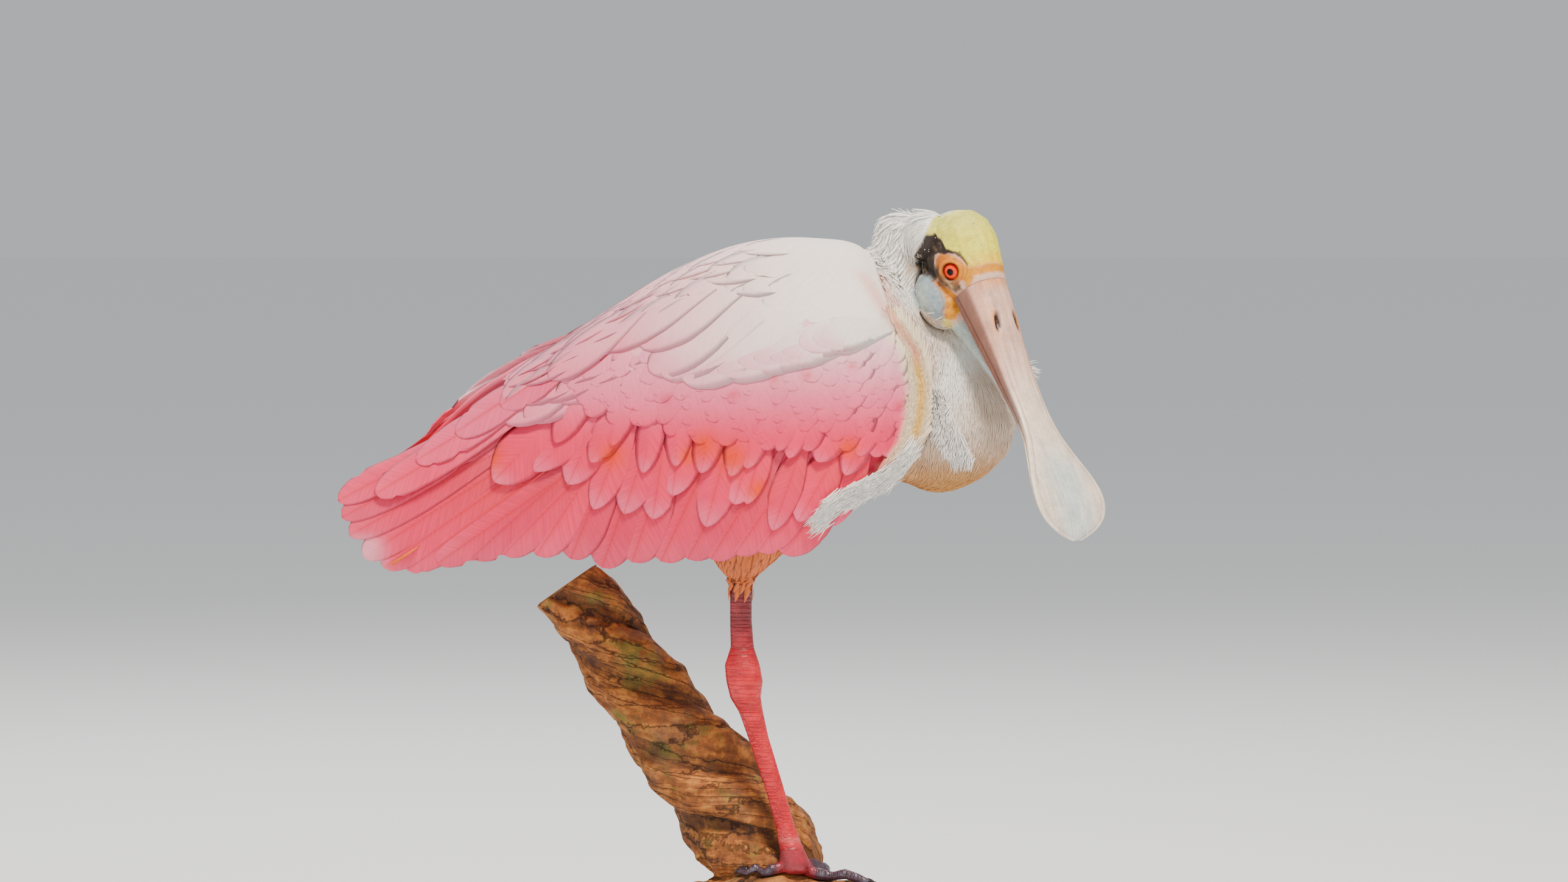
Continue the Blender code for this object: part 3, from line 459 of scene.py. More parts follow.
# Places across a vane, closest at the shaft where the detail is fine.
COLUMNS = {
    "fine": (-1, -0.82, -0.55, -0.25, -0.06, 0, 0.06, 0.25, 0.55, 0.82, 1),
    "medium": (-1, -0.6, -0.12, 0, 0.12, 0.6, 1),
    "small": (-1, 0, 1),
}
SHAFT_WIDTH = 0.07
SPLIT_FROM, SPLIT_TO, SPLIT_DEPTH = 0.35, 0.97, 0.8
PLAIN_FEATHER = dict(ridge=0, tilt=0, split=0, skew=0)
# Size of a feather's patch in the shared unwrap.
TUFT_PATCH, QUILL_PATCH = 0.003, 0.012


def feather_mesh(name, middles, normals, t, half_widths, shape, tints, roots_uv, detail, options):
    """Joins many feathers in one mesh.

    Middles and normals hold each feather's midline, row by row. Shape is the outline's share of the half
    width at each row. Tints is a function of points, rows and columns that gives colours. Options give the
    seed, the camber, the thickness and how ragged the edges are, and may change what PLAIN_FEATHER holds.
    """
    options = {**PLAIN_FEATHER, **options}
    s = np.array(COLUMNS[detail], float)
    feathers, rows = len(middles), len(t)
    ahead = unit(np.gradient(middles, axis=1))
    across = unit(np.cross(ahead, normals))
    wide = half_widths[:, None] * shape
    reach = wide[:, :, None] * s
    draw = np.random.default_rng(options["seed"])
    jitter = draw.uniform(-1, 1, (feathers, rows, 2)) * ease(0.2, 0.7, t)[:, None]
    reach[:, :, [0, -1]] *= 1 + options["ragged"] * jitter
    if options["split"]:
        torn = ((t > SPLIT_FROM) & (t < SPLIT_TO))[:, None]
        notch = (draw.random((feathers, rows, 2)) < options["split"]) & torn
        reach[:, :, [0, -1]] *= np.where(notch, SPLIT_DEPTH, 1)
    reach *= 1 + options["skew"] * np.sign(s)
    camber = -options["camber"] * wide[:, :, None] * s**2
    tilt = options["tilt"] * s * shape[:, None]
    thick = options["thick"] * (1 - s**2)
    ridge = options["ridge"] * bell(s, 0, SHAFT_WIDTH) * (1 - 0.7 * t)[:, None]
    base = middles[:, :, None] + across[:, :, None] * reach[..., None]
    up = normals[:, :, None]
    upper = base + up * (camber + tilt + thick + ridge)[..., None]
    lower = base + up * (camber + tilt - thick - ridge * 0.5)[..., None]
    ring = np.concatenate([upper, lower[:, :, -2:0:-1]], axis=2)
    around = ring.shape[2]
    grid = np.arange(feathers * rows * around).reshape(feathers, rows, around)
    after = np.roll(grid, -1, axis=2)
    sides = np.stack([grid[:, :-1], after[:, :-1], after[:, 1:], grid[:, 1:]], axis=-1).reshape(-1, 4)
    ends = np.concatenate([grid[:, 0, ::-1], grid[:, -1]])
    loops = np.concatenate([sides.ravel(), ends.ravel()])
    totals = np.concatenate([np.full(len(sides), 4), np.full(len(ends), around)])
    mesh = bpy.data.meshes.new(name)
    mesh.vertices.add(grid.size)
    mesh.vertices.foreach_set("co", ring.ravel())
    mesh.loops.add(len(loops))
    mesh.loops.foreach_set("vertex_index", loops)
    mesh.polygons.add(len(totals))
    mesh.polygons.foreach_set("loop_start", np.concatenate([[0], np.cumsum(totals)[:-1]]))
    mesh.update(calc_edges=True)
    mesh.polygons.foreach_set("use_smooth", np.ones(len(totals), bool))
    lengths = np.linalg.norm(np.diff(middles, axis=1), axis=2).sum(axis=1)
    ring_t = np.broadcast_to(t[:, None], grid.shape)
    ring_s = np.broadcast_to(np.concatenate([s, s[-2:0:-1]]), grid.shape)
    vane = np.stack([ring_s * wide[:, :, None] / MM, ring_t * lengths[:, None, None] / MM], axis=-1)
    vane[..., 1] += draw.uniform(0, 500, (feathers, 1, 1))
    patch = QUILL_PATCH if detail == "fine" else TUFT_PATCH
    baked = roots_uv[:, None, None] + np.stack([ring_s * 0.5, ring_t - 0.5], axis=-1) * patch
    unwrap(mesh, "vane", vane.reshape(-1, 2))
    unwrap(mesh, "OFBake", baked.reshape(-1, 2))
    paint(mesh, "tint", tints(ring, ring_t, ring_s).reshape(-1, 3))
    mesh.validate()
    return new_piece(name, mesh)


WING_FACE = curve_through(WING_ROWS)


def round_section(turn):
    """How far out and up the wings' rounded section lies, as shares, at an angle from the top."""
    out, up = np.sin(turn), np.cos(turn)
    power = 2 / WING_POWER
    return np.sign(out) * np.abs(out) ** power, np.sign(up) * np.abs(up) ** power


def wing_half_width(x, z):
    """How far out the folded wing's face lies, for arrays of places in its side view."""
    middle, above, below, half_width = np.moveaxis(WING_FACE(x), -1, 0)
    share = np.minimum(np.abs(z - middle) / np.where(z > middle, above, below), WING_LIMIT)
    return half_width * (1 - share**WING_POWER) ** (1 / WING_POWER)


def wing_face(side, x, z, lift):
    """Points and normals of the wing's face, in metres. Side is 1 for the left wing."""
    probe = 0.5
    along = (wing_half_width(x + probe, z) - wing_half_width(x - probe, z)) / (2 * probe)
    rising = (wing_half_width(x, z + probe) - wing_half_width(x, z - probe)) / (2 * probe)
    normals = unit(np.stack([-along, np.ones_like(along), -rising], axis=-1))
    points = np.stack([x, wing_half_width(x, z), z], axis=-1) + normals * np.asarray(lift)[..., None]
    turn = np.array([1, side, 1])
    return points * turn * MM, normals * turn


def dorsal_face(x, angle, lift):
    """Points and normals over the back, where the wings' face closes over it.

    Angle is from the top, in degrees.
    """

    def place(x, angle):
        middle, above, _, half_width = np.moveaxis(WING_FACE(x), -1, 0)
        out, up = round_section(np.radians(angle))
        return np.stack([x, half_width * out, middle + above * up], axis=-1)

    probe = 1.0
    ahead = place(x + probe, angle) - place(x - probe, angle)
    over = place(x, angle + probe) - place(x, angle - probe)
    normals = unit(np.cross(over, ahead))
    normals *= np.where(normals[..., 2:] < 0, -1, 1)
    return (place(x, angle) + normals * np.asarray(lift)[..., None]) * MM, normals


def raise_rear(side, points):
    """Lifts the left wing's long inner feathers, which the bird holds a little higher."""
    if side < 0:
        return points
    x = points[..., 0] / MM
    lifted = points.copy()
    share = ease(RAISE_FROM, RAISE_TO, x) * (1 - ease(RAISE_OUT_FROM, RAISE_OUT_TO, x))
    lifted[..., 2] += LEFT_WING_RAISE * MM * share
    return lifted


def wing_unwrap(x, z):
    """An unwrap of the wing's own face: along the body, and along the curve of each section."""
    samples = np.linspace(0, 1, 24)
    middle, above, _, _ = np.moveaxis(WING_FACE(x), -1, 0)
    top = middle + above * WING_LIMIT
    heights = top[:, None] + (z - top)[:, None] * samples[None, :]
    widths = wing_half_width(np.broadcast_to(x[:, None], heights.shape), heights)
    arc = np.hypot(np.diff(heights, axis=1), np.diff(widths, axis=1)).sum(axis=1)
    return np.stack([0.03 + 0.9 * (x + 255) / 370, 0.03 + 0.9 * arc / 230], axis=-1)


def wing_tier(name, side, rows, count, t, lifts, shape, tints, detail, options, jitter):
    """One tier of feathers laid over the wing's face, from the rows of its tips."""
    draw = np.random.default_rng(options["seed"])
    place = np.linspace(0, 1, count)
    tip_x, tip_z, slope, length, half = np.moveaxis(curve_through(rows)(place), -1, 0)
    slope = np.radians(slope + draw.uniform(-1, 1, count) * 22 * jitter)
    length = length * (1 + draw.uniform(-0.4, 0.4, count) * jitter)
    half = half * (1 + draw.uniform(-0.5, 0.5, count) * jitter)
    tip_x = tip_x + draw.uniform(-1, 1, count) * 12 * jitter
    tip_z = tip_z + draw.uniform(-1, 1, count) * 24 * jitter
    feathers = (tip_x, tip_z, slope, length, half)
    return wing_feathers(name, side, feathers, t, lifts, shape, tints, detail, options)


def wing_feathers(name, side, feathers, t, lifts, shape, tints, detail, options):
    """Feathers on the wing's face, from arrays of their tips, slopes in radians, lengths and half widths."""
    tip_x, tip_z, slope, length, half = feathers
    back = (1 - t) * length[:, None]
    x = tip_x[:, None] + np.cos(slope)[:, None] * back
    z = tip_z[:, None] + np.sin(slope)[:, None] * back
    root_lift, tip_lift = lifts
    rise = root_lift + (tip_lift - root_lift) * t**0.7 + np.zeros_like(x)
    middles, normals = wing_face(side, x, z, rise)
    middles = raise_rear(side, middles)
    options = {**options, "tilt": options.get("tilt", 0) * side}
    uv = wing_unwrap(x[:, 0], z[:, 0])
    return feather_mesh(name, middles, normals, t, half * MM, shape, tints, uv, detail, options)


# Patches of the wing, x, z and radius, where the orange bases of the coverts show, and the carmine flecks.
ORANGE_PATCHES = (
    (-80, 358, 8), (-24, 365, 8), (-8, 358, 9), (-34, 358, 6), (62, 363, 6), (-155, 356, 9),
    (8, 338, 7),
)
CARMINE_FLECKS = (
    (17, 405, 3), (37, 407, 3), (64, 412, 3), (92, 388, 3.5), (-47, 392, 3.5), (-7, 395, 3),
)
# Half width of the shaft's own colour, as a share of the vane's.
SHAFT_TINT_WIDTH = 0.06
# The front edge of the folded wing in the side view: height and x.
SHOULDER_EDGE = (
    (318, 42), (336, 65), (350, 90), (366, 102), (381, 106), (400, 107), (421, 102), (440, 89),
    (470, 70),
)


def edge_distance(points):
    """How far behind the wing's front edge each point lies in the side view, in millimetres."""
    z, x = np.array(SHOULDER_EDGE, float).T
    return np.interp(points[..., 2] / MM, z, x) - points[..., 0] / MM


def near_spots(points, spots):
    """How near each point lies to any of the spots in the side view, from 0 to 1."""
    x, z = points[..., 0] / MM, points[..., 2] / MM
    found = np.zeros(x.shape)
    for spot_x, spot_z, radius in spots:
        found = np.maximum(found, bell(x, spot_x, radius) * bell(z, spot_z, radius))
    return found


def per_feather(points, low, high, seed):
    """One random shade for each feather, shaped to multiply its colours."""
    return np.random.default_rng(seed).uniform(low, high, points.shape[0])[:, None, None, None]


def quill_tint(points, t, s):
    """Quills: coral at their roots, pink further out, paler at the edges and tips, with a carmine shaft, and
    painted light on the far wing's high quills.
    """
    own = settings()
    x, z = points[..., 0] / MM, points[..., 2] / MM
    colour = mix("E22C48", own.flight_pink, ease(0.25, 0.75, t))
    colour = mix(colour, "F65878", 0.6 * ease(0.7, 1.0, t) + 0.2 * np.abs(s) ** 3)
    colour = mix(colour, "F86E92", 0.6 * ease(335, 385, z))
    # Painted light: the far wing's high quills face away from the lamps, and are paled to make up for their
    # shade.
    colour = mix(colour, "FFD4E0", 0.9 * ease(380, 394, z) * (points[..., 1] > 0))
    colour = mix(colour, own.carmine, bell(s, 0, SHAFT_TINT_WIDTH) * (1 - 0.4 * t) * 0.85)
    mauve = ease(-212, -230, x) * ease(312, 300, z) * ease(0.78, 0.92, t)
    colour = mix(colour, "F8A4B4", 0.85 * mauve)
    return colour * per_feather(points, 0.88, 1.05, 5)


def covert_tint(points, t, s):
    """Coverts: cream at the shoulder and top, pink below, coral at the bases, with carmine flecks."""
    own = settings()
    x, z = points[..., 0] / MM, points[..., 2] / MM
    low = ease(372, 345, z)
    colour = mix(own.covert_pink, "E83444", 0.6 * low * ease(0.75, 0.3, t))
    pale = 0.9 * ease(366, 404, z) + 0.55 * low * ease(0.75, 1, t)
    colour = mix(colour, "FA7C9C", np.clip(pale, 0, 1))
    colour = mix(colour, "FFC8D2", 0.9 * ease(392, 430, z) * (1 - 0.75 * ease(30, -100, x)))
    behind = edge_distance(points)
    colour = mix(colour, "FFF0C8", 0.9 * ease(13, 7, behind) * ease(342, 356, z))
    colour = mix(colour, "FFC000", 0.8 * bell(behind, 1, 3) * ease(350, 368, z) * ease(424, 408, z))
    colour = mix(colour, "F0704C", 0.6 * bell(behind, 0, 3) * ease(406, 420, z))
    colour = mix(colour, "F03800", near_spots(points, ORANGE_PATCHES))
    colour = mix(colour, "E02048", 0.6 * near_spots(points, CARMINE_FLECKS))
    colour = mix(colour, own.carmine, bell(s, 0, SHAFT_TINT_WIDTH) * 0.55 * low)
    return colour * per_feather(points, 0.94, 1.04, 8)


def mantle_tint(points, t, s):
    """Back: cream white, pinker towards the rear, coral where it meets the neck."""
    x, z = points[..., 0] / MM, points[..., 2] / MM
    colour = mix(settings().mantle_pale, "F8809C", 0.9 * ease(60, -110, x))
    tip = ease(0.6, 1.0, t + 0.25 * s * s) * ease(446, 418, z)
    colour = mix(colour, "FCA8BA", 0.8 * tip * (1 - ease(10, -90, x)))
    colour = mix(colour, "F66A8C", 0.6 * tip * ease(10, -90, x))
    coral = bell(edge_distance(points), 2, 5) * ease(408, 420, z) * ease(474, 462, z)
    colour = mix(colour, "F06A48", 0.4 * coral)
    return colour * per_feather(points, 0.97, 1.02, 3)


LESSER_LIFTS = (3.3, 3.85)
LESSER_SPACING, LESSER_TOP = 7.2, 9


def lesser_rows(row):
    """Tip row of one of the rows of lesser coverts, counted upwards from the median coverts."""
    rise = LESSER_SPACING * row
    return (
        (0.0, 96 - 1.2 * row, 362 + 0.85 * rise, 68, 26, 8.5),
        (0.3, 62 - 2 * row, 363 + rise, 74, 27, 9.5),
        (0.6, 4 - 2 * row, 364 + 0.85 * rise, 70, 27, 9.5),
        (1.0, -94 - 2 * row, 380 + 0.45 * rise, 48, 30, 9.5),
    )


def shoulder_feathers(side):
    """Fine filaments wrapped over the wing's front edge, in a soft cream rim."""
    seed, count = 71, 2100
    draw = np.random.default_rng(seed)
    z = draw.uniform(348, 436, count)
    behind = draw.uniform(-1, 12, count) * np.interp(z, (400, 436), (1, 0.5))
    x = np.interp(z, *np.array(SHOULDER_EDGE, float).T) - behind
    slope = np.interp(z, (350, 380, 410, 440), (44, 62, 80, 104)) + draw.uniform(-12, 12, count)
    length, half = draw.uniform(8, 13, count), draw.uniform(0.5, 1.0, count)
    feathers = (x, z, np.radians(slope), length, half)
    t = stations(5, 1.2)
    options = dict(seed=seed, camber=0.1, thick=0.1 * MM, ragged=0.05)
    name = f"shoulder_feathers_{SIDES[side]}"
    shape = outline(t, 0.6, 0.4, 1.5)
    made = wing_feathers(name, side, feathers, t, (3.1, 4.3), shape, covert_tint, "small", options)
    dressed(made, plumage("body"))


def wispy_tint(points, t, s):
    """Loose white wisps, each in its own shade."""
    return rgb("F7F3EE") * per_feather(points, 0.94, 1.02, 4) + np.zeros(points.shape)


def wispy_edge(side):
    """White loose filaments that lie back along the wing's lower front edge."""
    seed, count, rooted = 72, 700, 0.55
    draw = np.random.default_rng(seed)
    share = draw.uniform(0, 1, count)
    x = np.interp(share, (0, 0.3, 0.55, 0.8, 1), (99, 85, 69, 52, 43)) + draw.uniform(-3, 3, count)
    z = np.interp(share, (0, 0.3, 0.55, 0.8, 1), (364, 347, 338, 330, 320)) + draw.uniform(-5.5, 5.5, count)
    length, half = draw.uniform(10, 20, count), draw.uniform(0.35, 0.65, count)
    slope = np.radians(np.interp(share, (0, 0.5, 1), (52, 30, 40)) + draw.uniform(-16, 16, count))
    feathers = (x - np.cos(slope) * length * rooted, z - np.sin(slope) * length * rooted, slope, length, half)
    t = stations(7, 1.0)
    options = dict(seed=seed, camber=0.3, thick=0.22 * MM, ragged=0.15)
    name = f"wing_edge_wisps_{SIDES[side]}"
    shape = outline(t, 0.6, 0.3, 1.3)
    made = wing_feathers(name, side, feathers, t, (3.2, 5.6), shape, wispy_tint, "small", options)
    dressed(made, plumage("body"))


def wing_pieces(side):
    """The feather tiers of one wing, as separate pieces from the quills up to the small coverts."""
    end = SIDES[side]
    flat = dict(camber=0.1, thick=0.22 * MM, ridge=0.4 * MM, ragged=0.02, split=0.05, tilt=1.0 * MM)
    soft = dict(camber=0.16, thick=0.2 * MM, ridge=0.2 * MM, ragged=0.025, split=0.03, tilt=0.9 * MM)
    smooth = dict(camber=0.08, thick=0.09 * MM, ridge=0.04 * MM, ragged=0.02, tilt=0.25 * MM)
    # Each tier: name, tip rows, seed, count, lift of roots and tips, detail, options and jitter.
    quills = (
        (f"primaries_{end}", PRIMARY_ROWS, 11, 6, (-2.0, 0.8), "fine", {**flat, "skew": 0.12}, 0.0),
        (f"secondaries_{end}", SECONDARY_ROWS, 12, 13, (-1.5, 1.4), "fine", flat, 0.08),
        (f"tertials_{end}", TERTIAL_ROWS, 13, 4, (1.0, 4.0), "fine", flat, 0.0),
    )
    coverts = (
        (f"greater_coverts_{end}", GREATER_ROWS, 14, 13, (0.2, 2.8), "fine", soft, 0.5),
        (f"median_coverts_{end}", MEDIAN_ROWS, 15, 14, (1.8, 4.2), "medium", soft, 0.42),
    )
    lesser = [
        (f"lesser_coverts_{end}_{n + 1}", lesser_rows(n), 20 + n, 17, LESSER_LIFTS, "medium", smooth, 0.2)
        for n in range(LESSER_TOP)
    ]
    lifted = {**smooth, "tilt": 0.5 * MM}
    scapulars = ((f"scapulars_{end}", SCAPULAR_ROWS, 31, 15, (3.5, 4.4), "medium", lifted, 0.14),)
    made = []
    for kind, t, swell, tint, tiers in (
        ("quill", stations(22), (0.3, 0.72, 2.2), quill_tint, quills),
        ("covert", stations(14), (0.45, 0.58, 1.7), covert_tint, coverts),
        ("covert", stations(9), (0.5, 0.6, 2.0), covert_tint, lesser),
        ("body", stations(16), (0.5, 0.62, 2.0), mantle_tint, scapulars),
    ):
        shape = outline(t, *swell)
        for name, rows, seed, count, lifts, detail, options, jitter in tiers:
            options = {**options, "seed": seed}
            piece = wing_tier(name, side, rows, count, t, lifts, shape, tint, detail, options, jitter)
            made.append(dressed(piece, plumage(kind)))
    shoulder_feathers(side)
    wispy_edge(side)
    return made[0]


def shell(name, outer, inner):
    """A closed sheet between two grids of points that share their layout."""
    columns, lines = outer.shape[:2]
    bm = bmesh.new()
    layers = [[[bm.verts.new(p) for p in line] for line in face] for face in (outer, inner)]
    for i in range(columns - 1):
        for j in range(lines - 1):
            for layer in layers:
                bm.faces.new((layer[i][j], layer[i + 1][j], layer[i + 1][j + 1], layer[i][j + 1]))
    top, under = layers
    border = [(i, 0) for i in range(columns)] + [(columns - 1, j) for j in range(1, lines)]
    border += [(i, lines - 1) for i in range(columns - 2, -1, -1)] + [(0, j) for j in range(lines - 2, 0, -1)]
    for (i, j), (k, m) in zip(border, border[1:] + border[:1]):
        bm.faces.new((top[i][j], top[k][m], under[k][m], under[i][j]))
    bmesh.ops.recalc_face_normals(bm, faces=bm.faces)
    mesh = bpy.data.meshes.new(name)
    bm.to_mesh(mesh)
    bm.free()
    mesh.shade_smooth()
    return new_piece(name, mesh)


def coloured_shell(name, outer, inner, tints, kind):
    """A sheet in a feather material, with its colours taken from a feather's tint."""
    obj = shell(name, outer, inner)
    points = vertex_array(obj.data)
    spread = points[:, None, None, :]
    t, s = np.full(spread.shape[:3], 0.6), np.full(spread.shape[:3], 0.5)
    paint(obj.data, "tint", tints(spread, t, s)[:, 0, 0])
    side_view = points[:, [2, 0]] / MM
    unwrap(obj.data, "vane", side_view)
    unwrap(obj.data, "OFBake", side_view * 0.0018 + (0.05, 0.5))
    return dressed(obj, plumage(kind))


def wing_flesh(side):
    """The arm and hand under the feathers: a flat pillow along the wing's face, short of the tips."""
    front, rear = 98, -205
    u, v = np.meshgrid(np.linspace(0, 1, 60), np.linspace(0, 1, 28), indexing="ij")
    x = front - u * (front - rear)
    middle, above, _, _ = np.moveaxis(WING_FACE(x), -1, 0)
    low = np.interp(x, (-205, -186, -120, -90, 20, 60, 98), (314, 316, 326, 322, 326, 337, 356))
    high = np.minimum(middle + 0.93 * above, np.interp(x, (56, 72, 84, 94, 98), (470, 452, 440, 424, 414)))
    z = low + (high - low) * v
    full = np.sqrt(np.clip(np.sin(math.pi * u) * np.sin(math.pi * v), 0, 1))
    outer, normals = wing_face(side, x, z, np.full_like(x, -1.6))
    inner = outer - normals * ((1.0 + 5.0 * full) * MM)[..., None]
    outer, inner = raise_rear(side, outer), raise_rear(side, inner)
    return coloured_shell(f"wing_flesh_{SIDES[side]}", outer, inner, covert_tint, "covert")


class SPOONBILL_OT_wings(bpy.types.Operator):
    """Both folded wings, feather by feather over their flesh"""

    bl_idname = "spoonbill.wings"
    bl_label = "Wings"

    def execute(self, context):
        for side, end in SIDES.items():
            flesh = wing_flesh(side)
            primaries = wing_pieces(side)
            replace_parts(flesh, f"wing_{end}")
            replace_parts(primaries, f"wing_{end}")
        return {"FINISHED"}


# Skin

HEAD_MIDDLE = np.array((137, -24, 468))
HEAD_TURN, HEAD_PITCH = math.radians(48), math.radians(60.6)
TO_BILL = np.array(
    (
        math.cos(HEAD_PITCH) * math.cos(HEAD_TURN),
        -math.cos(HEAD_PITCH) * math.sin(HEAD_TURN),
        -math.sin(HEAD_PITCH),
    )
)
TO_CROWN = np.array(
    (
        math.sin(HEAD_PITCH) * math.cos(HEAD_TURN),
        -math.sin(HEAD_PITCH) * math.sin(HEAD_TURN),
        math.cos(HEAD_PITCH),
    )
)
TO_RIGHT = np.array((-math.sin(HEAD_TURN), -math.cos(HEAD_TURN), 0))
HEAD_AXES = np.stack([TO_BILL, TO_CROWN, TO_RIGHT])
EYE_SEAT = np.array((0, 0, 17.3))
EYE_FACING = unit(np.array((0.36, 0.22, 0.9)))
EYE_RADIUS, EYE_SUNK = 8.0, 6.1

# Outlines of the head's bare patches, seen from its side: towards the bill, and towards the crown.
BLACK_BAND = (
    (-36, -12), (-30, -6.5), (-26, -0.5), (-23, 1), (-19.6, 3), (-15, 3.6), (-13, 3.3),
    (-10.9, 6.8), (-7.6, 9.4), (-3, 11), (-0.5, 10.6), (-4.6, 9.4), (-7.8, 7.4), (-10.1, 4.2),
    (-11.5, 0), (-13.8, -2.9), (-14.5, -6.4), (-12.5, -9), (-9.1, -12), (-5.9, -13.6),
    (-1, -14.4), (-4.6, -16.4), (-9.3, -19.3), (-15.5, -22.4), (-22, -26), (-28, -26), (-32, -22),
    (-39, -18),
)
CROWN_PATCH = (
    (-42, 45), (-42, -6), (-39, -7), (-35.7, -12), (-30, -6.5), (-26, -0.5), (-23, 1), (-19.6, 3),
    (-13, 3.3), (-7.6, 9.4), (-1, 10.4), (3.4, 11.4), (5.2, 16.8), (5.6, 45),
)
ORBIT_PATCH = (
    (-13.3, -1.9), (-9.3, 4), (-6.5, 7.3), (-2.8, 9.4), (1.1, 10), (3.4, 11.4), (5.2, 16.8),
    (5.6, 45), (10.6, 45), (10.6, 17), (9.4, 12), (13, 9), (15, 5.5), (9.5, 5), (7.6, 1.5),
    (6, -1.5), (2.1, -6), (-2.2, -7.8), (-8, -9.8), (-11.8, -6.2),
)
UNDER_EYE = (
    (-4.5, -14), (-9, -11), (-8, -8), (-2, -7), (4, -4), (7, 1), (13, 1), (12, -5), (6, -10),
    (1.4, -13.4),
)
GAPE_PATCH = (
    (-5, -15.2), (0, -13.6), (3.4, -12), (7.6, -8.8), (12.3, -6.5), (17, -8), (21.5, -13),
    (24, -17), (24, -21), (22.2, -22), (19.7, -19.6), (16.5, -16.4), (12.5, -13.5), (8.2, -12.8),
    (4.8, -13.4), (0, -15.2),
)
LAPPET_PATCH = (
    (20.7, -21.6), (23, -19.5), (29, -20), (33, -26), (31, -31), (24.5, -30), (22.6, -25),
)
CHEEK_PATCH = (
    (-12.1, -24.2), (-5.8, -17.3), (-0.1, -14.8), (5.1, -13.2), (12.3, -13.8), (15.7, -15.6),
    (20.9, -21.2), (21.7, -25), (17.7, -27), (12.3, -30), (5.8, -34), (2.2, -34), (-2.6, -32),
    (-6.8, -29.4), (-10.5, -26),
)
EAR_PATCH = (
    (-23, -21), (-18.5, -20.6), (-12.5, -21.6), (-10.5, -23), (-12, -25), (-15, -27), (-21, -25),
)
BARE_FACE = (
    (-38, 45), (-38.5, -6), (-37.5, -9), (-35.7, -12.4), (-31.4, -14), (-25.4, -18.4), (-22, -21),
    (-17, -24), (-12, -25), (-10.5, -26.5), (-6.8, -30), (-2.6, -32.6), (2.2, -34.6), (6, -34.4),
    (12.3, -30.6), (18, -28), (22, -27), (24.5, -30.5), (30, -31), (33, -26), (45, -22),
    (70, -17), (70, 45),
)
# Where feathers give way to bare skin on the right of the face, from the chin to the crown: height and x.
FACE_BORDER = (
    (425, 125), (431, 122), (435, 120), (439, 114), (443, 109), (446, 104.5), (449, 101.4),
    (454, 100.5), (459, 101), (466, 99.5), (472, 99.8), (478, 101.7), (481, 104), (485, 106),
    (488, 107.3), (493, 109.5), (497, 111.3), (500, 113.5), (503, 119), (507, 127),
)
# Places on the right side of the face along which rows of small white papillae stand.
PAPILLA_ROWS = (
    ((-10.5, -22, 20), (-6.8, -25, 22.9), (-2.6, -28, 23.7), (2.2, -30, 23.2), (7, -30, 21), (13, -26.5, 21)),
    ((-32, -10.5, 13.9), (-29.4, -11.9, 15.9), (-26.3, -14, 17.6), (-23.4, -16.4, 19.7), (-20, -19, 21.5)),
)
PAPILLA_COUNT, PAPILLA_SIZE = 54, 0.36


def head_place(points):
    """Head coordinates in millimetres: towards the bill, towards the crown, out to the right."""
    return (points / MM - HEAD_MIDDLE) @ HEAD_AXES.T


def from_head(places):
    """Places in metres from head coordinates."""
    return (np.asarray(places) @ HEAD_AXES + HEAD_MIDDLE) * MM


def patch_mask(along, up, corners, soft=1.0):
    """1 inside a patch of the side view and 0 outside, with a soft edge."""
    corners = np.array(corners, float)
    here = np.stack([along, up], axis=-1)
    inside = np.zeros(len(here), bool)
    nearest = np.full(len(here), np.inf)
    for a, b in zip(corners, np.roll(corners, -1, axis=0)):
        edge = b - a
        share = np.clip(((here - a) @ edge) / (edge @ edge), 0, 1)
        nearest = np.minimum(nearest, np.linalg.norm(here - a - share[:, None] * edge, axis=1))
        crosses = (a[1] > here[:, 1]) != (b[1] > here[:, 1])
        at = a[0] + (here[:, 1] - a[1]) / (b[1] - a[1] if b[1] != a[1] else 1e-9) * edge[0]
        inside ^= crosses & (here[:, 0] < at)
    return ease(-soft, soft, np.where(inside, nearest, -nearest))


def in_fixed_order(mesh):
    """The same faces in a fixed order, because a union lists them in another order each time it runs."""
    points = vertex_array(mesh)
    corners = [tuple(face.vertices) for face in mesh.polygons]
    starts = [face.index(min(face)) for face in corners]
    faces = sorted(face[start:] + face[:start] for face, start in zip(corners, starts))
    mesh.clear_geometry()
    mesh.from_pydata(points.tolist(), [], faces)
    mesh.update()


def fused(name, parts):
    """One closed surface from overlapping closed pieces."""
    first, *others = parts
    for other in others:
        apply_modifier(first, "BOOLEAN", operation="UNION", object=other, solver="MANIFOLD")
        bpy.data.objects.remove(other)
    in_fixed_order(first.data)
    first.name = name
    first.data.name = name
    return first


def remeshed(name, nodes, voxel, smooth, added=None):
    """One even surface over CAD nodes, and over another piece where one is added. Voxel is in millimetres."""
    obj = merged_copy(name, nodes)
    if added:
        only(obj, added)
        bpy.ops.object.join()
    apply_modifier(obj, "REMESH", mode="VOXEL", voxel_size=voxel * MM)
    apply_modifier(obj, "SMOOTH", factor=0.5, iterations=smooth)
    return obj


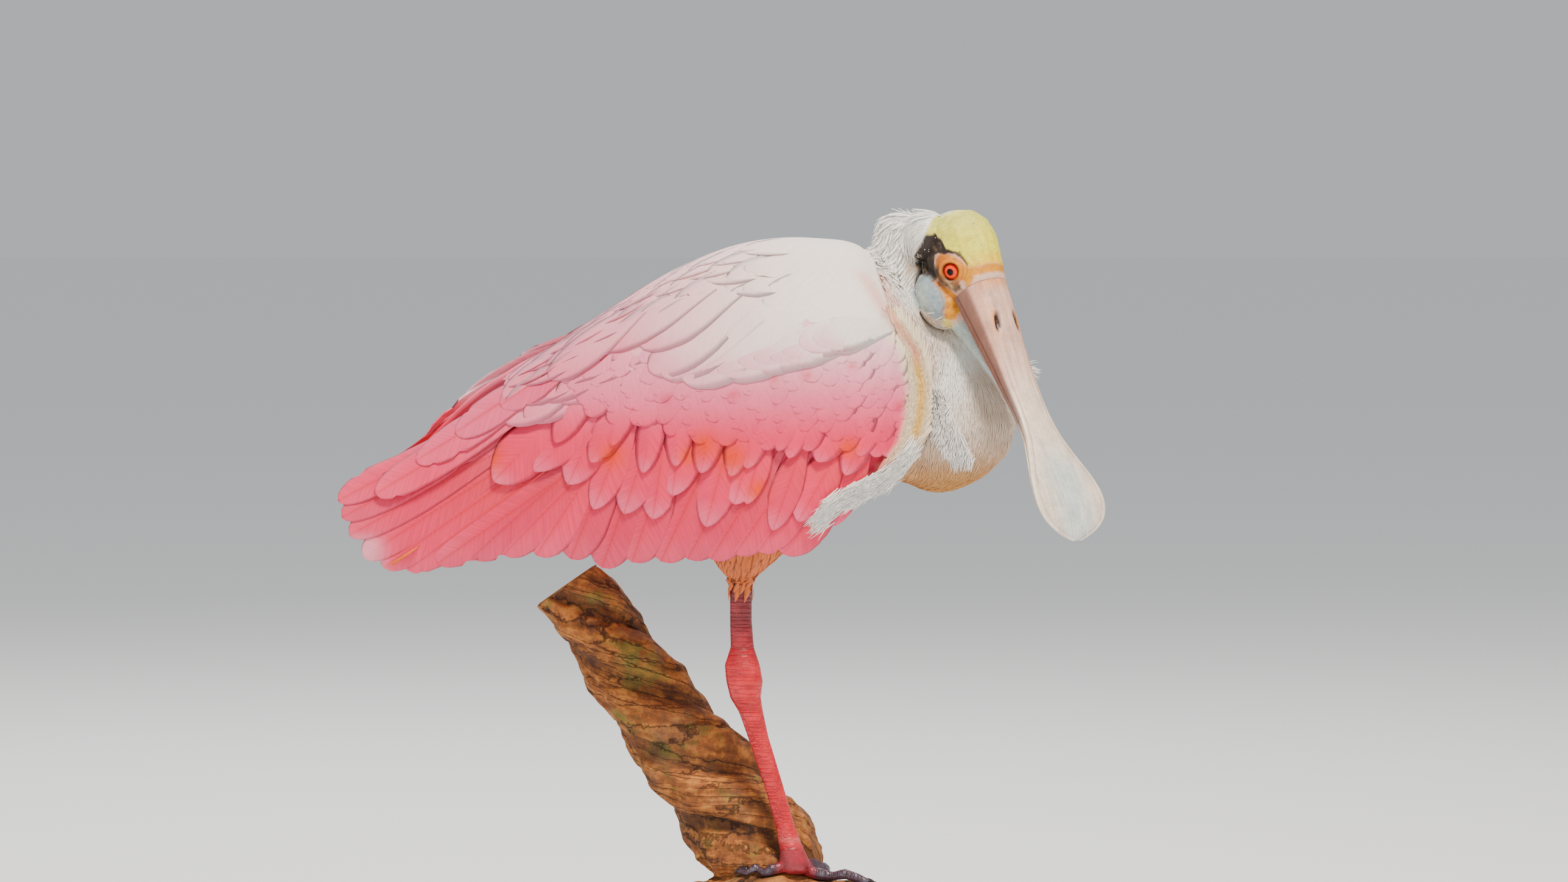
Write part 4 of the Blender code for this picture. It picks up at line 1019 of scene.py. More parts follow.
def sculpt_head(obj):
    """Lids, brow, cheek folds, the gape's wrinkles and small folds, pushed in and out along the normals."""
    mesh = obj.data
    points, normals = vertex_array(mesh), vertex_array(mesh, "normal")
    along, up, out = head_place(points).T
    depth, reach = eye_reach(points)
    near = ease(-9, -5, depth) * (np.abs(out) > 6)
    wavy = reach * (1 + 0.05 * np.sin(3 * np.arctan2(up, along)))
    push = near * 0.75 * bell(wavy, 6.5, 0.8)
    push -= near * 0.8 * ease(5.2, 4.2, reach)
    for place, size, width in ((8.0, -0.55, 0.5), (9.2, 0.3, 0.6), (10.3, -0.4, 0.5), (11.6, 0.3, 0.6)):
        push += near * size * bell(wavy, place, width) * (0.4 + 0.6 * ease(-4, 4, along + up))
    band = patch_mask(along, up, BLACK_BAND)
    cheek = patch_mask(along, up, CHEEK_PATCH, 1.6)
    gape = patch_mask(along, up, GAPE_PATCH, 1.4)
    lappet = patch_mask(along, up, LAPPET_PATCH, 1.4)
    push -= 0.8 * bell(cheek, 0.5, 0.28) * (np.abs(out) > 8)
    push += 0.8 * cheek + 0.5 * gape + 0.8 * lappet
    push -= 0.45 * band
    brow = bell(up, np.interp(along, (-19, -13, -7, -1, 3), (4.2, 4.6, 10, 12, 12.6)), 1.1)
    push += 0.7 * brow * (along > -20) * (along < 3) * (np.abs(out) > 8)
    creases = np.sin(along * 1.5 + 0.9 * np.sin(up * 0.35) + 0.8 * ripple(points, 7, 11))
    crown = patch_mask(along, up, CROWN_PATCH)
    push -= 0.14 * ease(0.75, 1.0, creases) * crown
    wrinkles = np.sin((along * 0.8 + up * 0.6) * 2.4 + ripple(points, 3, 12))
    push += wrinkles * 0.25 * np.maximum(gape, 0.6 * lappet)
    under = patch_mask(along, up, UNDER_EYE)
    push += (0.3 * ripple(points, 2.2, 13) - 0.3) * np.maximum(under, band)
    push += 0.2 * ripple(points, 5, 1) + 0.1 * ripple(points, 1.9, 2)
    set_vertices(mesh, points + normals * (push * MM)[:, None])


def eye_reach(points):
    """For each point of the head: its depth along the nearer eye's gaze, and its distance from that line."""
    local = head_place(points)
    local[:, 2] = np.abs(local[:, 2])
    from_eye = local - EYE_SEAT
    depth = from_eye @ EYE_FACING
    return depth, np.linalg.norm(from_eye - depth[:, None] * EYE_FACING, axis=1)


def feathered(points):
    """How deep the coat lies over each point of the skin, from 0 to 1: none on the face and bare legs."""
    x, y, z = (points / MM).T
    places = head_place(points)
    places[:, 2] = np.abs(places[:, 2])
    near = from_head(places) / MM
    border = np.interp(near[:, 2], *np.array(FACE_BORDER, float).T)
    ahead = ease(-1, 1, near[:, 0] - border) * (near[:, 0] > 99)
    bare_head = patch_mask(places[:, 0], places[:, 1], BARE_FACE, 1.2) * (z > 400) * ahead
    bare_leg = (z < 281) | ((z < 309) & (x < -76) & (y > 20)) | ((z < 307) & (y > 25) & (x < 60) & (x > -104))
    return np.where(bare_leg, 0, 1 - bare_head)


def face_tint(points):
    """The bare head: yellow crown, orange round eye and gape, black band, blue grey cheek with painted shade
    along its rim, pale lappet.
    """
    own = settings()
    along, up, out = head_place(points).T
    a, u = along + 0.8 * ripple(points, 2.6, 4), up + 0.8 * ripple(points, 2.6, 5)
    mottle = ripple(points, 3, 14)
    face = mix(own.bill_pink, "E8DCC8", ease(-16, -24, u) * (a < 26))
    face = mix(face, "5E5650", ease(2, -3, a) * ease(-8, -12, u))
    crown = mix(own.crown_yellow, "F8B400", 0.65 * ease(-6, 5, a) + 0.25 * mottle.clip(0, 1))
    crown = mix(crown, "CECE70", 0.6 * ease(-6, -34, a) + 0.3 * (-mottle).clip(0, 1))
    specks = ease(0.62, 0.72, ripple(points, 2.2, 15)) * (out > -30)
    crown = mix(crown, "6A6A50", 0.7 * specks)
    face = mix(face, crown, patch_mask(a, u, CROWN_PATCH, 0.8))
    orbit = mix(own.orbit_orange, "DC9600", 0.6 * ease(0, 8, u) + 0.2 * mottle)
    orbit = mix(orbit, "B45000", 0.4 * ease(-2, -9, u) + 0.3 * ease(-8, -13, a))
    face = mix(face, orbit, patch_mask(a, u, ORBIT_PATCH, 1.2))
    olive = mix("7A5410", "2E200A", ease(-0.3, 0.5, mottle))
    olive = mix(olive, "E8D898", 0.8 * bell(a, 6, 2.2) * bell(u, -6, 1.8))
    face = mix(face, olive, 0.85 * patch_mask(a, u, UNDER_EYE, 1.2))
    gape = mix(own.orbit_orange, "E6A800", ease(5, 16, a) * ease(-0.8, 0.8, mottle))
    gape = mix(gape, "C85000", 0.5 * ease(4, -2, a))
    face = mix(face, gape, patch_mask(a, u, GAPE_PATCH, 0.9))
    face = mix(face, "E6D070", patch_mask(a, u, LAPPET_PATCH, 0.9))
    cheek = mix(own.cheek_grey, "D4DCC8", 0.7 * bell(a, 6, 8) * bell(u, -25, 5) + 0.2 * mottle)
    cheek = mix(cheek, "5C6068", 0.7 * ease(-2, -12, a) * ease(-0.7, 0.5, mottle + 0.3))
    edge = patch_mask(along, up, CHEEK_PATCH)
    # Painted shade in a dark line along the cheek's rim, where the bare fold turns under.
    cheek = mix(cheek, "4A4644", 0.55 * bell(edge, 0.6, 0.3))
    face = mix(face, cheek, edge)
    ear = mix("A08A58", "3A2A1E", ease(0.0, 0.4, mottle))
    face = mix(face, ear, patch_mask(a, u, EAR_PATCH, 0.9))
    band = mix(own.band_black, "6E5C40", 0.55 * ease(0.2, 0.6, mottle) * (a < -12))
    face = mix(face, band, patch_mask(a, u, BLACK_BAND, 0.7))
    brow = bell(up, 11 + 0.12 * (along + 3), 0.9) * (along > -8) * (along < 2)
    face = mix(face, own.band_black, 0.8 * brow)
    depth, reach = eye_reach(points)
    face = mix(face, "5A1A08", 0.75 * bell(reach, 5.3, 0.6) * (depth > -6))
    face = mix(face, "D8660A", 0.5 * bell(reach, 8.0, 0.5) * (depth > -8))
    face = mix(face, own.bill_pink, 0.12 * ease(9.5, 13, a) * ease(-4, 4, u))
    under_bill = ease(-8, -12, up) * ease(24, 29, along)
    return mix(face, "AFC2BE", under_bill)


def skin_tint(points):
    """The bare head's patches, the red legs with painted shade high up under the belly, the grey toes with
    painted highlights, and pale skin where feathers cover it.
    """
    own = settings()
    x, y, z = (points / MM).T
    covered = feathered(points)
    colour = mix(neck_colour(points), belly_colour(points), ease(95, 60, x)) * 0.95
    head = (z > 400) & (x > 96) & (covered < 0.9)
    colour = np.where(head[:, None], mix(face_tint(points), colour, covered), colour)
    knobs = ripple(points, 9, 7)
    # Painted shade: the upper leg darkens to maroon under the belly.
    red = mix(own.leg_red, "6E0F1E", 0.85 * ease(222, 262, z) * (z < 281))
    red = mix(red, "F0505E", 0.4 * np.clip(knobs, 0, 1))
    red = mix(red, "7A1420", 0.35 * np.clip(-knobs, 0, 1))
    hub = foot_reach(x, y)
    red = mix(red, own.toe_grey, ease(121, 113, z) * (0.55 + 0.45 * ease(8, 16, hub)))
    red = mix(red, "F07C7C", 0.4 * bell(z, 122, 2))
    # Painted highlight: blue grey glints on the toes.
    red = mix(red, "8C96AC", 0.25 * ease(0.2, 0.6, ripple(points, 5, 19)) * ease(12, 18, hub) * (z < 114))
    leg = (z < 281) | ((y > 22) & (z < 320) & (x < 70) & (covered < 0.5))
    return np.where(leg[:, None], red, colour)


def foot_reach(x, y):
    """How far places lie from the middle of the standing foot, seen from above."""
    return np.hypot(x - 30, y + 8)


def bare_skin_material():
    """Bare living skin, dry and finely pebbled on the face, in larger softly gleaming plates on the legs."""
    finish = Finish("skin_bare_scaled", Subsurface_Weight=0.05, Subsurface_Scale=1.2 * MM)
    finish.set("Subsurface Radius", (1.0, 0.4, 0.25))
    place, plated = finish.place(), finish.stored("plated")
    mottle = finish.noise(place, 1 / (4 * MM), 6.0)
    spots = finish.noise(place, 1 / (1.3 * MM))
    grains = finish.cells(place, 1 / (1.1 * MM), "F1")
    plates = finish.cells(finish.stretched(finish.unwrapped("hide"), (0.3, 0.24, 1)), 1.0)
    shade = finish.ranged(mottle, 0.3, 0.7, 0.84, 1.14)
    edge = finish.ranged(grains, 0.3, 0.75, 1.0, 0.86)
    seams = finish.blend(plated, 1.0, finish.ranged(plates, 0.0, 0.12, 0.7, 1.0))
    fleck = finish.ranged(spots, 0.68, 0.74, 1.0, 0.75)
    finish.set("Base Color", finish.shaded(finish.stored("tint", "Color"), shade, edge, seams, fleck))
    finish.set("Roughness", finish.ranged(plated, 0.0, 1.0, 0.55, 0.33))
    domed = finish.maths("MULTIPLY", finish.ranged(plates, 0.0, 0.16, 0.0, 1.6), plated)
    finish.bump(finish.maths("ADD", domed, finish.maths("SUBTRACT", mottle, grains)), 0.5, 0.3)
    return finish.material


def ellipsoid(name, centre, half):
    """A closed round part, from its centre and half axes in millimetres."""
    bpy.ops.object.select_all(action="DESELECT")
    bpy.ops.mesh.primitive_uv_sphere_add(segments=64, ring_count=32, radius=1)
    obj = bpy.context.active_object
    obj.name = name
    set_vertices(obj.data, (vertex_array(obj.data) * half + centre) * MM)
    return obj


# The bare pouch under the bill's lower half: distance towards the bill, drop, half width, half depth.
POUCH_ROWS = (
    (14, -13, 9, 9), (26, -13.5, 8, 7.5), (38, -12.5, 6.5, 6), (50, -10.5, 5.5, 4.6),
    (62, -7.5, 4.5, 3.2),
)


def pouch():
    """The pouch as a closed tube, a part of the skin."""
    reach = np.linspace(14, 62, 60)
    drop, width, depth = np.moveaxis(curve_through(POUCH_ROWS)(reach), -1, 0)
    turn = np.linspace(0, 2 * math.pi, 48, endpoint=False)
    around = np.stack([0 * turn, np.sin(turn), np.cos(turn)], axis=-1)
    rings = around[None] * np.stack([0 * reach, depth, width], axis=-1)[:, None, :]
    rings += np.stack([reach, drop, 0 * reach], axis=-1)[:, None, :]
    return new_piece("pouch_part", tube_mesh("pouch_part", from_head(rings)))


SHOULDER_REAR, SHOULDER_FRONT, SHOULDER_CAP = -104, 104, 11


def shoulders():
    """The round of back and shoulders under both wings, which closes in to the neck in front."""
    x = np.linspace(SHOULDER_REAR, SHOULDER_FRONT + SHOULDER_CAP - 0.4, 70)
    middle, above, below, half_width = np.moveaxis(WING_FACE(x), -1, 0)
    lift = np.interp(x, (-100, 50, 90), (0.6, 1.0, 2.2))
    rear = np.sqrt(np.clip((x - SHOULDER_REAR + 3) / 30, 0, 1))
    cap = np.sqrt(1 - np.clip((x - SHOULDER_FRONT) / SHOULDER_CAP, 0, 1) ** 2)
    down = np.minimum(below - 6, middle - 338)
    turn = np.linspace(0, 2 * math.pi, 72, endpoint=False)
    across, up = round_section(turn)
    scale = (rear * cap)[:, None]
    reach = np.where(up > 0, (above + lift)[:, None], down[:, None])
    out, height = (half_width + lift)[:, None] * across * scale, middle[:, None] + reach * up * scale
    rings = np.stack([x[:, None] + 0 * out, out, height], axis=-1) * MM
    return new_piece("shoulder_part", tube_mesh("shoulder_part", rings))


NAPE_MIDDLE, NAPE_HALF = np.array((109, -12, 489)), np.array((14, 16, 15.5))


def skin():
    """One skin over all the flesh, inside the solids by the coat's depth where feathers cover it."""
    head = remeshed("head_part", ["head"], 0.72, 5)
    sculpt_head(head)
    flesh = ["torso", "neck", "thigh_right", "thigh_left"]
    body = remeshed("body_part", flesh, 2.8, 12, shoulders())
    legs = remeshed("leg_part", ["leg_right", "foot_right", "leg_left", "foot_left"], 1.0, 2)
    points, normals = vertex_array(body.data), vertex_array(body.data, "normal")
    depth = settings().coat_depth * feathered(points)
    set_vertices(body.data, points - normals * depth[:, None])
    nape = ellipsoid("nape_part", NAPE_MIDDLE, NAPE_HALF)
    obj = fused("skin", [head, body, legs, nape, pouch()])
    mesh = obj.data
    points = vertex_array(mesh)
    group = obj.vertex_groups.new(name="blend")
    near = bell(np.linalg.norm(points / MM - NAPE_MIDDLE, axis=1), 0, 26) * feathered(points)
    for i in np.flatnonzero(near > 0.05):
        group.add([int(i)], float(near[i]), "REPLACE")
    apply_modifier(obj, "SMOOTH", factor=0.5, iterations=40, vertex_group="blend")
    points = vertex_array(mesh)
    paint(mesh, "tint", skin_tint(points))
    x, y, z = (points / MM).T
    store(mesh, "plated", (z < 276).astype(float))
    hub = foot_reach(x, y)
    round_leg = np.arctan2(y - np.where(y > 12, 44, -20 + 0.06 * (200 - z)), x - 20) * 6
    toes = np.stack([hub * 1.25, 40 + z * 0.06], axis=-1)
    unwrap(mesh, "hide", np.where((z < 116)[:, None], toes, np.stack([z * 1.35, round_leg * 1.2], axis=-1)))
    mesh.shade_smooth()
    return obj


def papillae(tree):
    """Small white papillae in rows on both sides of the face, each half sunk in the skin."""
    draw = np.random.default_rng(81)
    bm = bmesh.new()
    for side in (1, -1):
        for row in PAPILLA_ROWS:
            keys = np.linspace(0, 1, len(row))
            for share in draw.uniform(0, 1, PAPILLA_COUNT):
                spot = np.array([np.interp(share, keys, column) for column in np.array(row).T])
                spot[:2] += draw.normal(0, 1.5, 2)
                spot[2] *= side
                found = tree.find_nearest(Vector(from_head(spot)))[0]
                size = PAPILLA_SIZE * draw.uniform(0.6, 1.2) * MM
                bmesh.ops.create_icosphere(bm, subdivisions=1, radius=size, matrix=Matrix.Translation(found))
    mesh = bpy.data.meshes.new("face_papillae")
    bm.to_mesh(mesh)
    bm.free()
    mesh.shade_smooth()
    finish = Finish("skin_papillae_white", Roughness=0.5, Base_Color=(*rgb("C9C8BE"), 1))
    return dressed(new_piece(mesh.name, mesh), finish.material)


class SPOONBILL_OT_skin(bpy.types.Operator):
    """The skin of head, body and legs, as one closed surface"""

    bl_idname = "spoonbill.skin"
    bl_label = "Skin"

    def execute(self, context):
        obj = dressed(skin(), bare_skin_material())
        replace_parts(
            obj, "torso", "neck", "head", "thigh_right", "thigh_left", "leg_right", "leg_left", "foot_right", "foot_left"
        )
        papillae(BVHTree.FromObject(obj, bpy.context.evaluated_depsgraph_get()))
        return {"FINISHED"}


# Claws

# Point and root of each claw, and its radius at the root.
CLAW_ROWS = (
    (80.4, -18.2, 92.2, 72.2, -18.3, 97.0, 2.7),
    (75.0, 14.0, 69.4, 69.0, 16.2, 77.8, 2.7),
    (45.7, 41.9, 96.2, 48.6, 33.6, 99.2, 2.6),
    (-7.0, -2.0, 101.0, 1.6, -6.6, 102.4, 2.6),
    (57.4, 38.3, 321.8, 49.0, 38.4, 320.0, 2.2),
    (51.2, 32.9, 320.6, 44.0, 34.2, 317.6, 2.1),
    (51.2, 43.7, 320.0, 44.0, 42.4, 317.4, 2.1),
    (9.2, 40.3, 305.0, 16.4, 38.8, 305.6, 2.0),
)
CLAW_ARCH = 0.14


def claws():
    """Arched claws over the ends of the toes, each drawn out to a blunt point."""
    share = np.linspace(0, 1, 18)
    turn = np.linspace(0, 2 * math.pi, 24, endpoint=False)
    parts = []
    for row in CLAW_ROWS:
        point, root, radius = np.array(row[:3]), np.array(row[3:6]), row[6]
        along = unit(point - root)
        across = unit(np.cross(along, (0, 0, 1)))
        over = np.cross(across, along)
        length = np.linalg.norm(point - root)
        line = root + (point - root) * share[:, None]
        line += over * (CLAW_ARCH * length * np.sin(math.pi * share))[:, None]
        width = radius * (1 - share**1.6) ** 0.9 + 0.25
        ring = across * 0.8 * np.cos(turn)[:, None] + over * np.sin(turn)[:, None]
        name = f"claw_part_{len(parts)}"
        rings = (line[:, None] + ring * width[:, None, None]) * MM
        parts.append(new_piece(name, tube_mesh(name, rings)))
    only(*parts)
    bpy.ops.object.join()
    obj = parts[0]
    obj.name = obj.data.name = "claws_horn"
    obj.data.shade_smooth()
    return obj


def claw_material():
    """Claw horn: dark keratin, worn smooth, with faint growth bands that catch the light."""
    finish = Finish("claw_horn_keratin", Roughness=0.3)
    bands = finish.noise(finish.place(), 1 / (1.5 * MM), 3.0)
    finish.set("Base Color", finish.ramp(bands, ((0.3, "120C0C"), (0.7, "3A2E30"))))
    finish.bump(bands, 0.3, 0.2)
    return finish.material


class SPOONBILL_OT_claws(bpy.types.Operator):
    """The claws of both feet"""

    bl_idname = "spoonbill.claws"
    bl_label = "Claws"

    def execute(self, context):
        dressed(claws(), claw_material())
        return {"FINISHED"}


# Eyes


EYE_COLOURS = (
    (0.0, "030303"), (0.33, "030303"), (0.375, "8A1402"), (0.45, "FF3A00"), (0.66, "FF4400"), (0.8, "C00C00"),
    (0.92, "7A0A04"), (1.0, "200604"),
)
IRIS_EDGE = 5.4


def eye_material():
    """Wet eye: a black pupil in an orange red iris with darker spokes, under a clear glossy cornea."""
    finish = Finish("eye_wet_cornea", Roughness=0.06, IOR=1.38, Specular_IOR_Level=0.35)
    share = finish.maths("DIVIDE", finish.stored("gaze"), IRIS_EDGE)
    spokes = finish.noise(finish.place(), 1 / (0.5 * MM))
    shade = finish.ranged(spokes, 0.3, 0.7, 0.75, 1.2)
    finish.set("Base Color", finish.shaded(finish.ramp(share, EYE_COLOURS), shade))
    return finish.material


def eye(side, finish):
    """An eyeball with a cornea that bulges a little over the iris. Side is 1 on the head's right."""
    facing = EYE_FACING * np.array((1, 1, side))
    centre = EYE_SEAT * np.array((1, 1, side)) - facing * EYE_SUNK
    bpy.ops.object.select_all(action="DESELECT")
    bpy.ops.mesh.primitive_uv_sphere_add(segments=64, ring_count=48, radius=EYE_RADIUS * MM)
    obj = bpy.context.active_object
    obj.name = f"eyeball_{SIDES[-side]}"
    mesh = obj.data
    outward = facing @ HEAD_AXES
    turn = Vector((0, 0, 1)).rotation_difference(Vector(outward)).to_matrix()
    points = vertex_array(mesh)
    reach = np.linalg.norm(points[:, :2], axis=1) / MM
    reach = np.where(points[:, 2] < 0, 20, reach)
    points[:, 2] += 0.7 * MM * bell(reach, 0, 3.6)
    set_vertices(mesh, points @ np.array(turn).T + from_head(centre))
    store(mesh, "gaze", reach)
    mesh.shade_smooth()
    return dressed(obj, finish)


class SPOONBILL_OT_eyes(bpy.types.Operator):
    """Both eyes"""

    bl_idname = "spoonbill.eyes"
    bl_label = "Eyes"

    def execute(self, context):
        finish = eye_material()
        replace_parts(eye(1, finish), "eye_right")
        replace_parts(eye(-1, finish), "eye_left")
        return {"FINISHED"}


# Bill

# Distance from the face, half width, height of the upper half, depth of the lower half, rise of the middle.
BILL_ROWS = (
    (0, 15.5, 21.4, 6.2, -5.2),
    (12, 15, 19, 6.4, -4.0),
    (27, 14.4, 15.2, 6.8, -2.4),
    (48, 13.6, 10.1, 6.4, -0.4),
    (70, 13, 6.8, 4.9, 1.0),
    (87, 13, 5.2, 3.8, 2.4),
    (102, 15, 4.2, 3, 3.8),
    (117, 20, 3.5, 2.5, 5.3),
    (130, 25, 3.1, 2.2, 6.4),
    (141, 27.6, 2.9, 2.1, 6.8),
    (151, 27, 2.7, 2.0, 6.0),
    (160, 21.5, 2.5, 1.8, 3.8),
    (166, 12, 2.1, 1.5, 1.6),
    (169, 4, 1.4, 1.1, 0.4),
)
BILL_START = 13.4
BILL_GAP = 0.7
NOSTRIL_AT, NOSTRIL_HALF = (26.5, 7.6), (5.6, 1.5)
RIM_INSET = 3.4
BILL_LENGTH, NAIL_AT = 169, 165
# Ridges inside the lower half's rim, in radians for each millimetre.
RIDGES = 3.1


def bill_half(name, upper):
    """Half of the bill, with a groove along its rim, and with slit nostrils and a nail in the upper half."""
    reach = BILL_LENGTH * (1 - (1 - np.linspace(0, 1, 110)) ** 1.25)
    across = np.sin(np.linspace(-math.pi / 2, math.pi / 2, 41))
    half_width, height, depth, rise = np.moveaxis(curve_through(BILL_ROWS)(reach), -1, 0)
    if not upper:
        half_width, height, reach = half_width * 0.95, depth, reach * 0.985
    power = 2 / (0.85 if upper else 0.6)
    arch = (1 - np.abs(across) ** power) ** (1 / power)
    half_width, far = half_width[:, None], reach[:, None]
    out, inset = half_width * across, half_width * (1 - np.abs(across))
    top = height[:, None] * (0.18 + 0.82 * arch)
    top -= (0.5 if upper else 0.25) * bell(inset, RIM_INSET, 0.7) * ease(30, 60, far)
    top -= 0.5 * ease(108, 140, far) * (1 - ease(0.0, 0.8, np.abs(across))) * (1 if upper else 0.3)
    slit = np.zeros_like(top)
    if upper:
        along_slit = (far - NOSTRIL_AT[0]) / NOSTRIL_HALF[0]
        over_slit = (np.abs(out) - NOSTRIL_AT[1] - 0.1 * (far - NOSTRIL_AT[0])) / NOSTRIL_HALF[1]
        slit = np.exp(-(along_slit**4) - over_slit**2)
        lip = np.exp(-((along_slit / 1.15) ** 4) - (over_slit / 2.2) ** 2)
        top += 0.5 * lip - 2.6 * slit
        top += 0.7 * bell(far, NAIL_AT, 3) * bell(out, 0, 4.5)
        top += 0.12 * np.sin(far * 1.9) * ease(60, 20, far) * arch
    else:
        top += 0.22 * np.cos(inset * RIDGES) * ease(90, 50, far)
    way = 1 if upper else -1
    level = rise[:, None] + way * BILL_GAP / 2
    base = np.stack(np.broadcast_arrays(BILL_START + BILL_GAP + far, level, out), axis=-1)
    outer = base.copy()
    outer[..., 1] += way * top
    ring = np.concatenate([outer, (base * (1, 1, 0.97))[:, ::-1]], axis=1)
    mesh = tube_mesh(name, from_head(ring), flip=not upper)
    along, aside = np.repeat(reach, ring.shape[1]), ring[..., 2].ravel()
    insets = np.concatenate([inset, inset[:, ::-1]], axis=1).ravel()
    slits = np.concatenate([slit, np.zeros_like(slit)], axis=1).ravel()
    paint(mesh, "tint", bill_tint(along, aside, insets, slits, upper))
    unwrap(mesh, "grain", np.stack([along, aside], axis=-1))
    mesh.shade_smooth()
    mesh.set_sharp_from_angle(angle=math.radians(60))
    return new_piece(name, mesh)


def tube_mesh(name, rings, flip=False):
    """A closed mesh over rings of points with flat ends. Flip turns its faces over."""
    rows, around = rings.shape[:2]
    grid = np.arange(rows * around).reshape(rows, around)
    after = np.roll(grid, -1, axis=1)
    sides = np.stack([grid[:-1], after[:-1], after[1:], grid[1:]], axis=-1).reshape(-1, 4)
    faces = [*map(tuple, sides.tolist()), tuple(grid[0, ::-1].tolist()), tuple(grid[-1].tolist())]
    if flip:
        faces = [face[::-1] for face in faces]
    mesh = bpy.data.meshes.new(name)
    mesh.from_pydata(rings.reshape(-1, 3).tolist(), [], faces)
    bm = bmesh.new()
    bm.from_mesh(mesh)
    bmesh.ops.recalc_face_normals(bm, faces=bm.faces)
    bm.to_mesh(mesh)
    bm.free()
    return mesh


def bill_tint(reach, out, inset, slit, upper):
    """Grey pink at the root, cream and blue grey in the spoon, dark in mouth, rim groove and nostrils."""
    own = settings()
    colour = mix(own.bill_pink, "F2DCC8", ease(30, 90, reach))
    streak = np.sin(out * 1.1 + 0.8 * np.sin(reach * 0.045)) * ease(95, 50, reach)
    colour = mix(colour, "CE8E7C", 0.35 * np.clip(streak, 0, 1))
    colour = mix(colour, "E8A890", 0.5 * ease(6, 11, np.abs(out)) * ease(85, 40, reach))
    colour = mix(colour, own.spoon_blue, 0.9 * bell(out, 0, 15) * ease(100, 132, reach))
    edge = ease(RIM_INSET - 0.4, RIM_INSET - 1.6, inset) * ease(100, 125, reach)
    colour = mix(colour, "F4E4CC", 0.7 * edge)
    colour = mix(colour, "A87C74", 0.5 * bell(inset, RIM_INSET, 0.55) * ease(25, 60, reach))
    colour = mix(colour, "5A2A26", 0.75 * ease(1.0, 0.15, inset) * ease(120, 80, reach))
    if not upper:
        stripes = 0.5 + 0.5 * np.sin(inset * RIDGES)
        striped = mix(colour * 0.75, "7C4A40", 0.7 * stripes)
        return mix(striped, colour, ease(60, 110, reach))
    colour = mix(colour, own.orbit_orange, 0.6 * ease(9, 0, reach) * ease(15, 9, np.abs(out)))
    by_nostril = bell(reach, NOSTRIL_AT[0] - 1, 8) * bell(np.abs(out), NOSTRIL_AT[1] + 1.6, 1.6)
    colour = mix(colour, "F0962E", 0.75 * by_nostril)
    return mix(colour, "2A1208", np.clip(1.8 * slit, 0, 1))


def bill_material():
    """Bill horn: grown keratin with a satin skin over streaked layers, finely pitted."""
    finish = Finish("bill_horn_keratin", Roughness=0.36, Subsurface_Weight=0.1, Subsurface_Scale=1.5 * MM)
    place = finish.place()
    streaks = finish.noise(finish.stretched(finish.unwrapped("grain"), (0.05, 0.5, 1)), 1.0, 6.0)
    cloud = finish.noise(place, 1 / (9 * MM), 5.0)
    fleck = finish.noise(place, 1 / (1.6 * MM), 4.0)
    spans = ((cloud, 0.84, 1.12), (streaks, 0.84, 1.1), (fleck, 0.9, 1.08))
    shades = [finish.ranged(value, 0.3, 0.7, low, high) for value, low, high in spans]
    finish.set("Base Color", finish.shaded(finish.stored("tint", "Color"), *shades))
    finish.bump(finish.maths("ADD", fleck, streaks), 0.3, 0.3)
    return finish.material


class SPOONBILL_OT_bill(bpy.types.Operator):
    """Both halves of the bill"""

    bl_idname = "spoonbill.bill"
    bl_label = "Bill"

    def execute(self, context):
        finish = bill_material()
        for node, upper in (("bill_upper", True), ("bill_lower", False)):
            name = f"{node}_horn"
            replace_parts(dressed(bill_half(name, upper), finish), node)
        return {"FINISHED"}


# Body and neck coat


def scattered(mesh, spacing, keep, seed):
    """Points spread over a mesh about spacing apart, in millimetres, where keep is true of them."""
    mesh.calc_loop_triangles()
    corners = np.zeros(len(mesh.loop_triangles) * 3, int)
    mesh.loop_triangles.foreach_get("vertices", corners)
    a, b, c = vertex_array(mesh)[corners.reshape(-1, 3)].transpose(1, 0, 2)
    area = np.linalg.norm(np.cross(b - a, c - a), axis=1) / 2 / MM**2
    draw = np.random.default_rng(seed)
    count = int(area.sum() / spacing**2 * 4)
    face = draw.choice(len(area), count, p=area / area.sum())
    u, v = draw.random((2, count, 1))
    over = u + v > 1
    u, v = np.where(over, 1 - u, u), np.where(over, 1 - v, v)
    points = a[face] + (b - a)[face] * u + (c - a)[face] * v
    points = points[keep(points)]
    cells = np.floor(points / (spacing * MM)).astype(np.int64)
    _, first = np.unique(cells, axis=0, return_index=True)
    return points[np.sort(first)]


def lay_on_skin(tree, roots, headings, lengths, t, lifts, curls):
    """Midlines and normals of feathers that follow the skin from their roots, and lift or curl off it."""
    middles = np.zeros((len(roots), len(t), 3))
    normals = np.zeros_like(middles)
    for i, (root, heading, length) in enumerate(zip(roots, headings, lengths)):
        spot, normal, _, _ = tree.find_nearest(Vector(root))
        heading = Vector(heading)
        before = 0.0
        for k, share in enumerate(t):
            heading = (heading - normal * heading.dot(normal)).normalized()
            if share > before:
                spot, normal, _, _ = tree.find_nearest(spot + heading * float(share - before) * float(length))
                before = share
            rise = lifts[0] + (lifts[1] - lifts[0]) * share + curls[i] * length / MM * share**3
            middles[i, k] = spot + normal * (rise * MM)
            tip = normal - heading * min(1.4 * curls[i] * share * share, 1.2)
            normals[i, k] = tip.normalized()
    return middles, normals


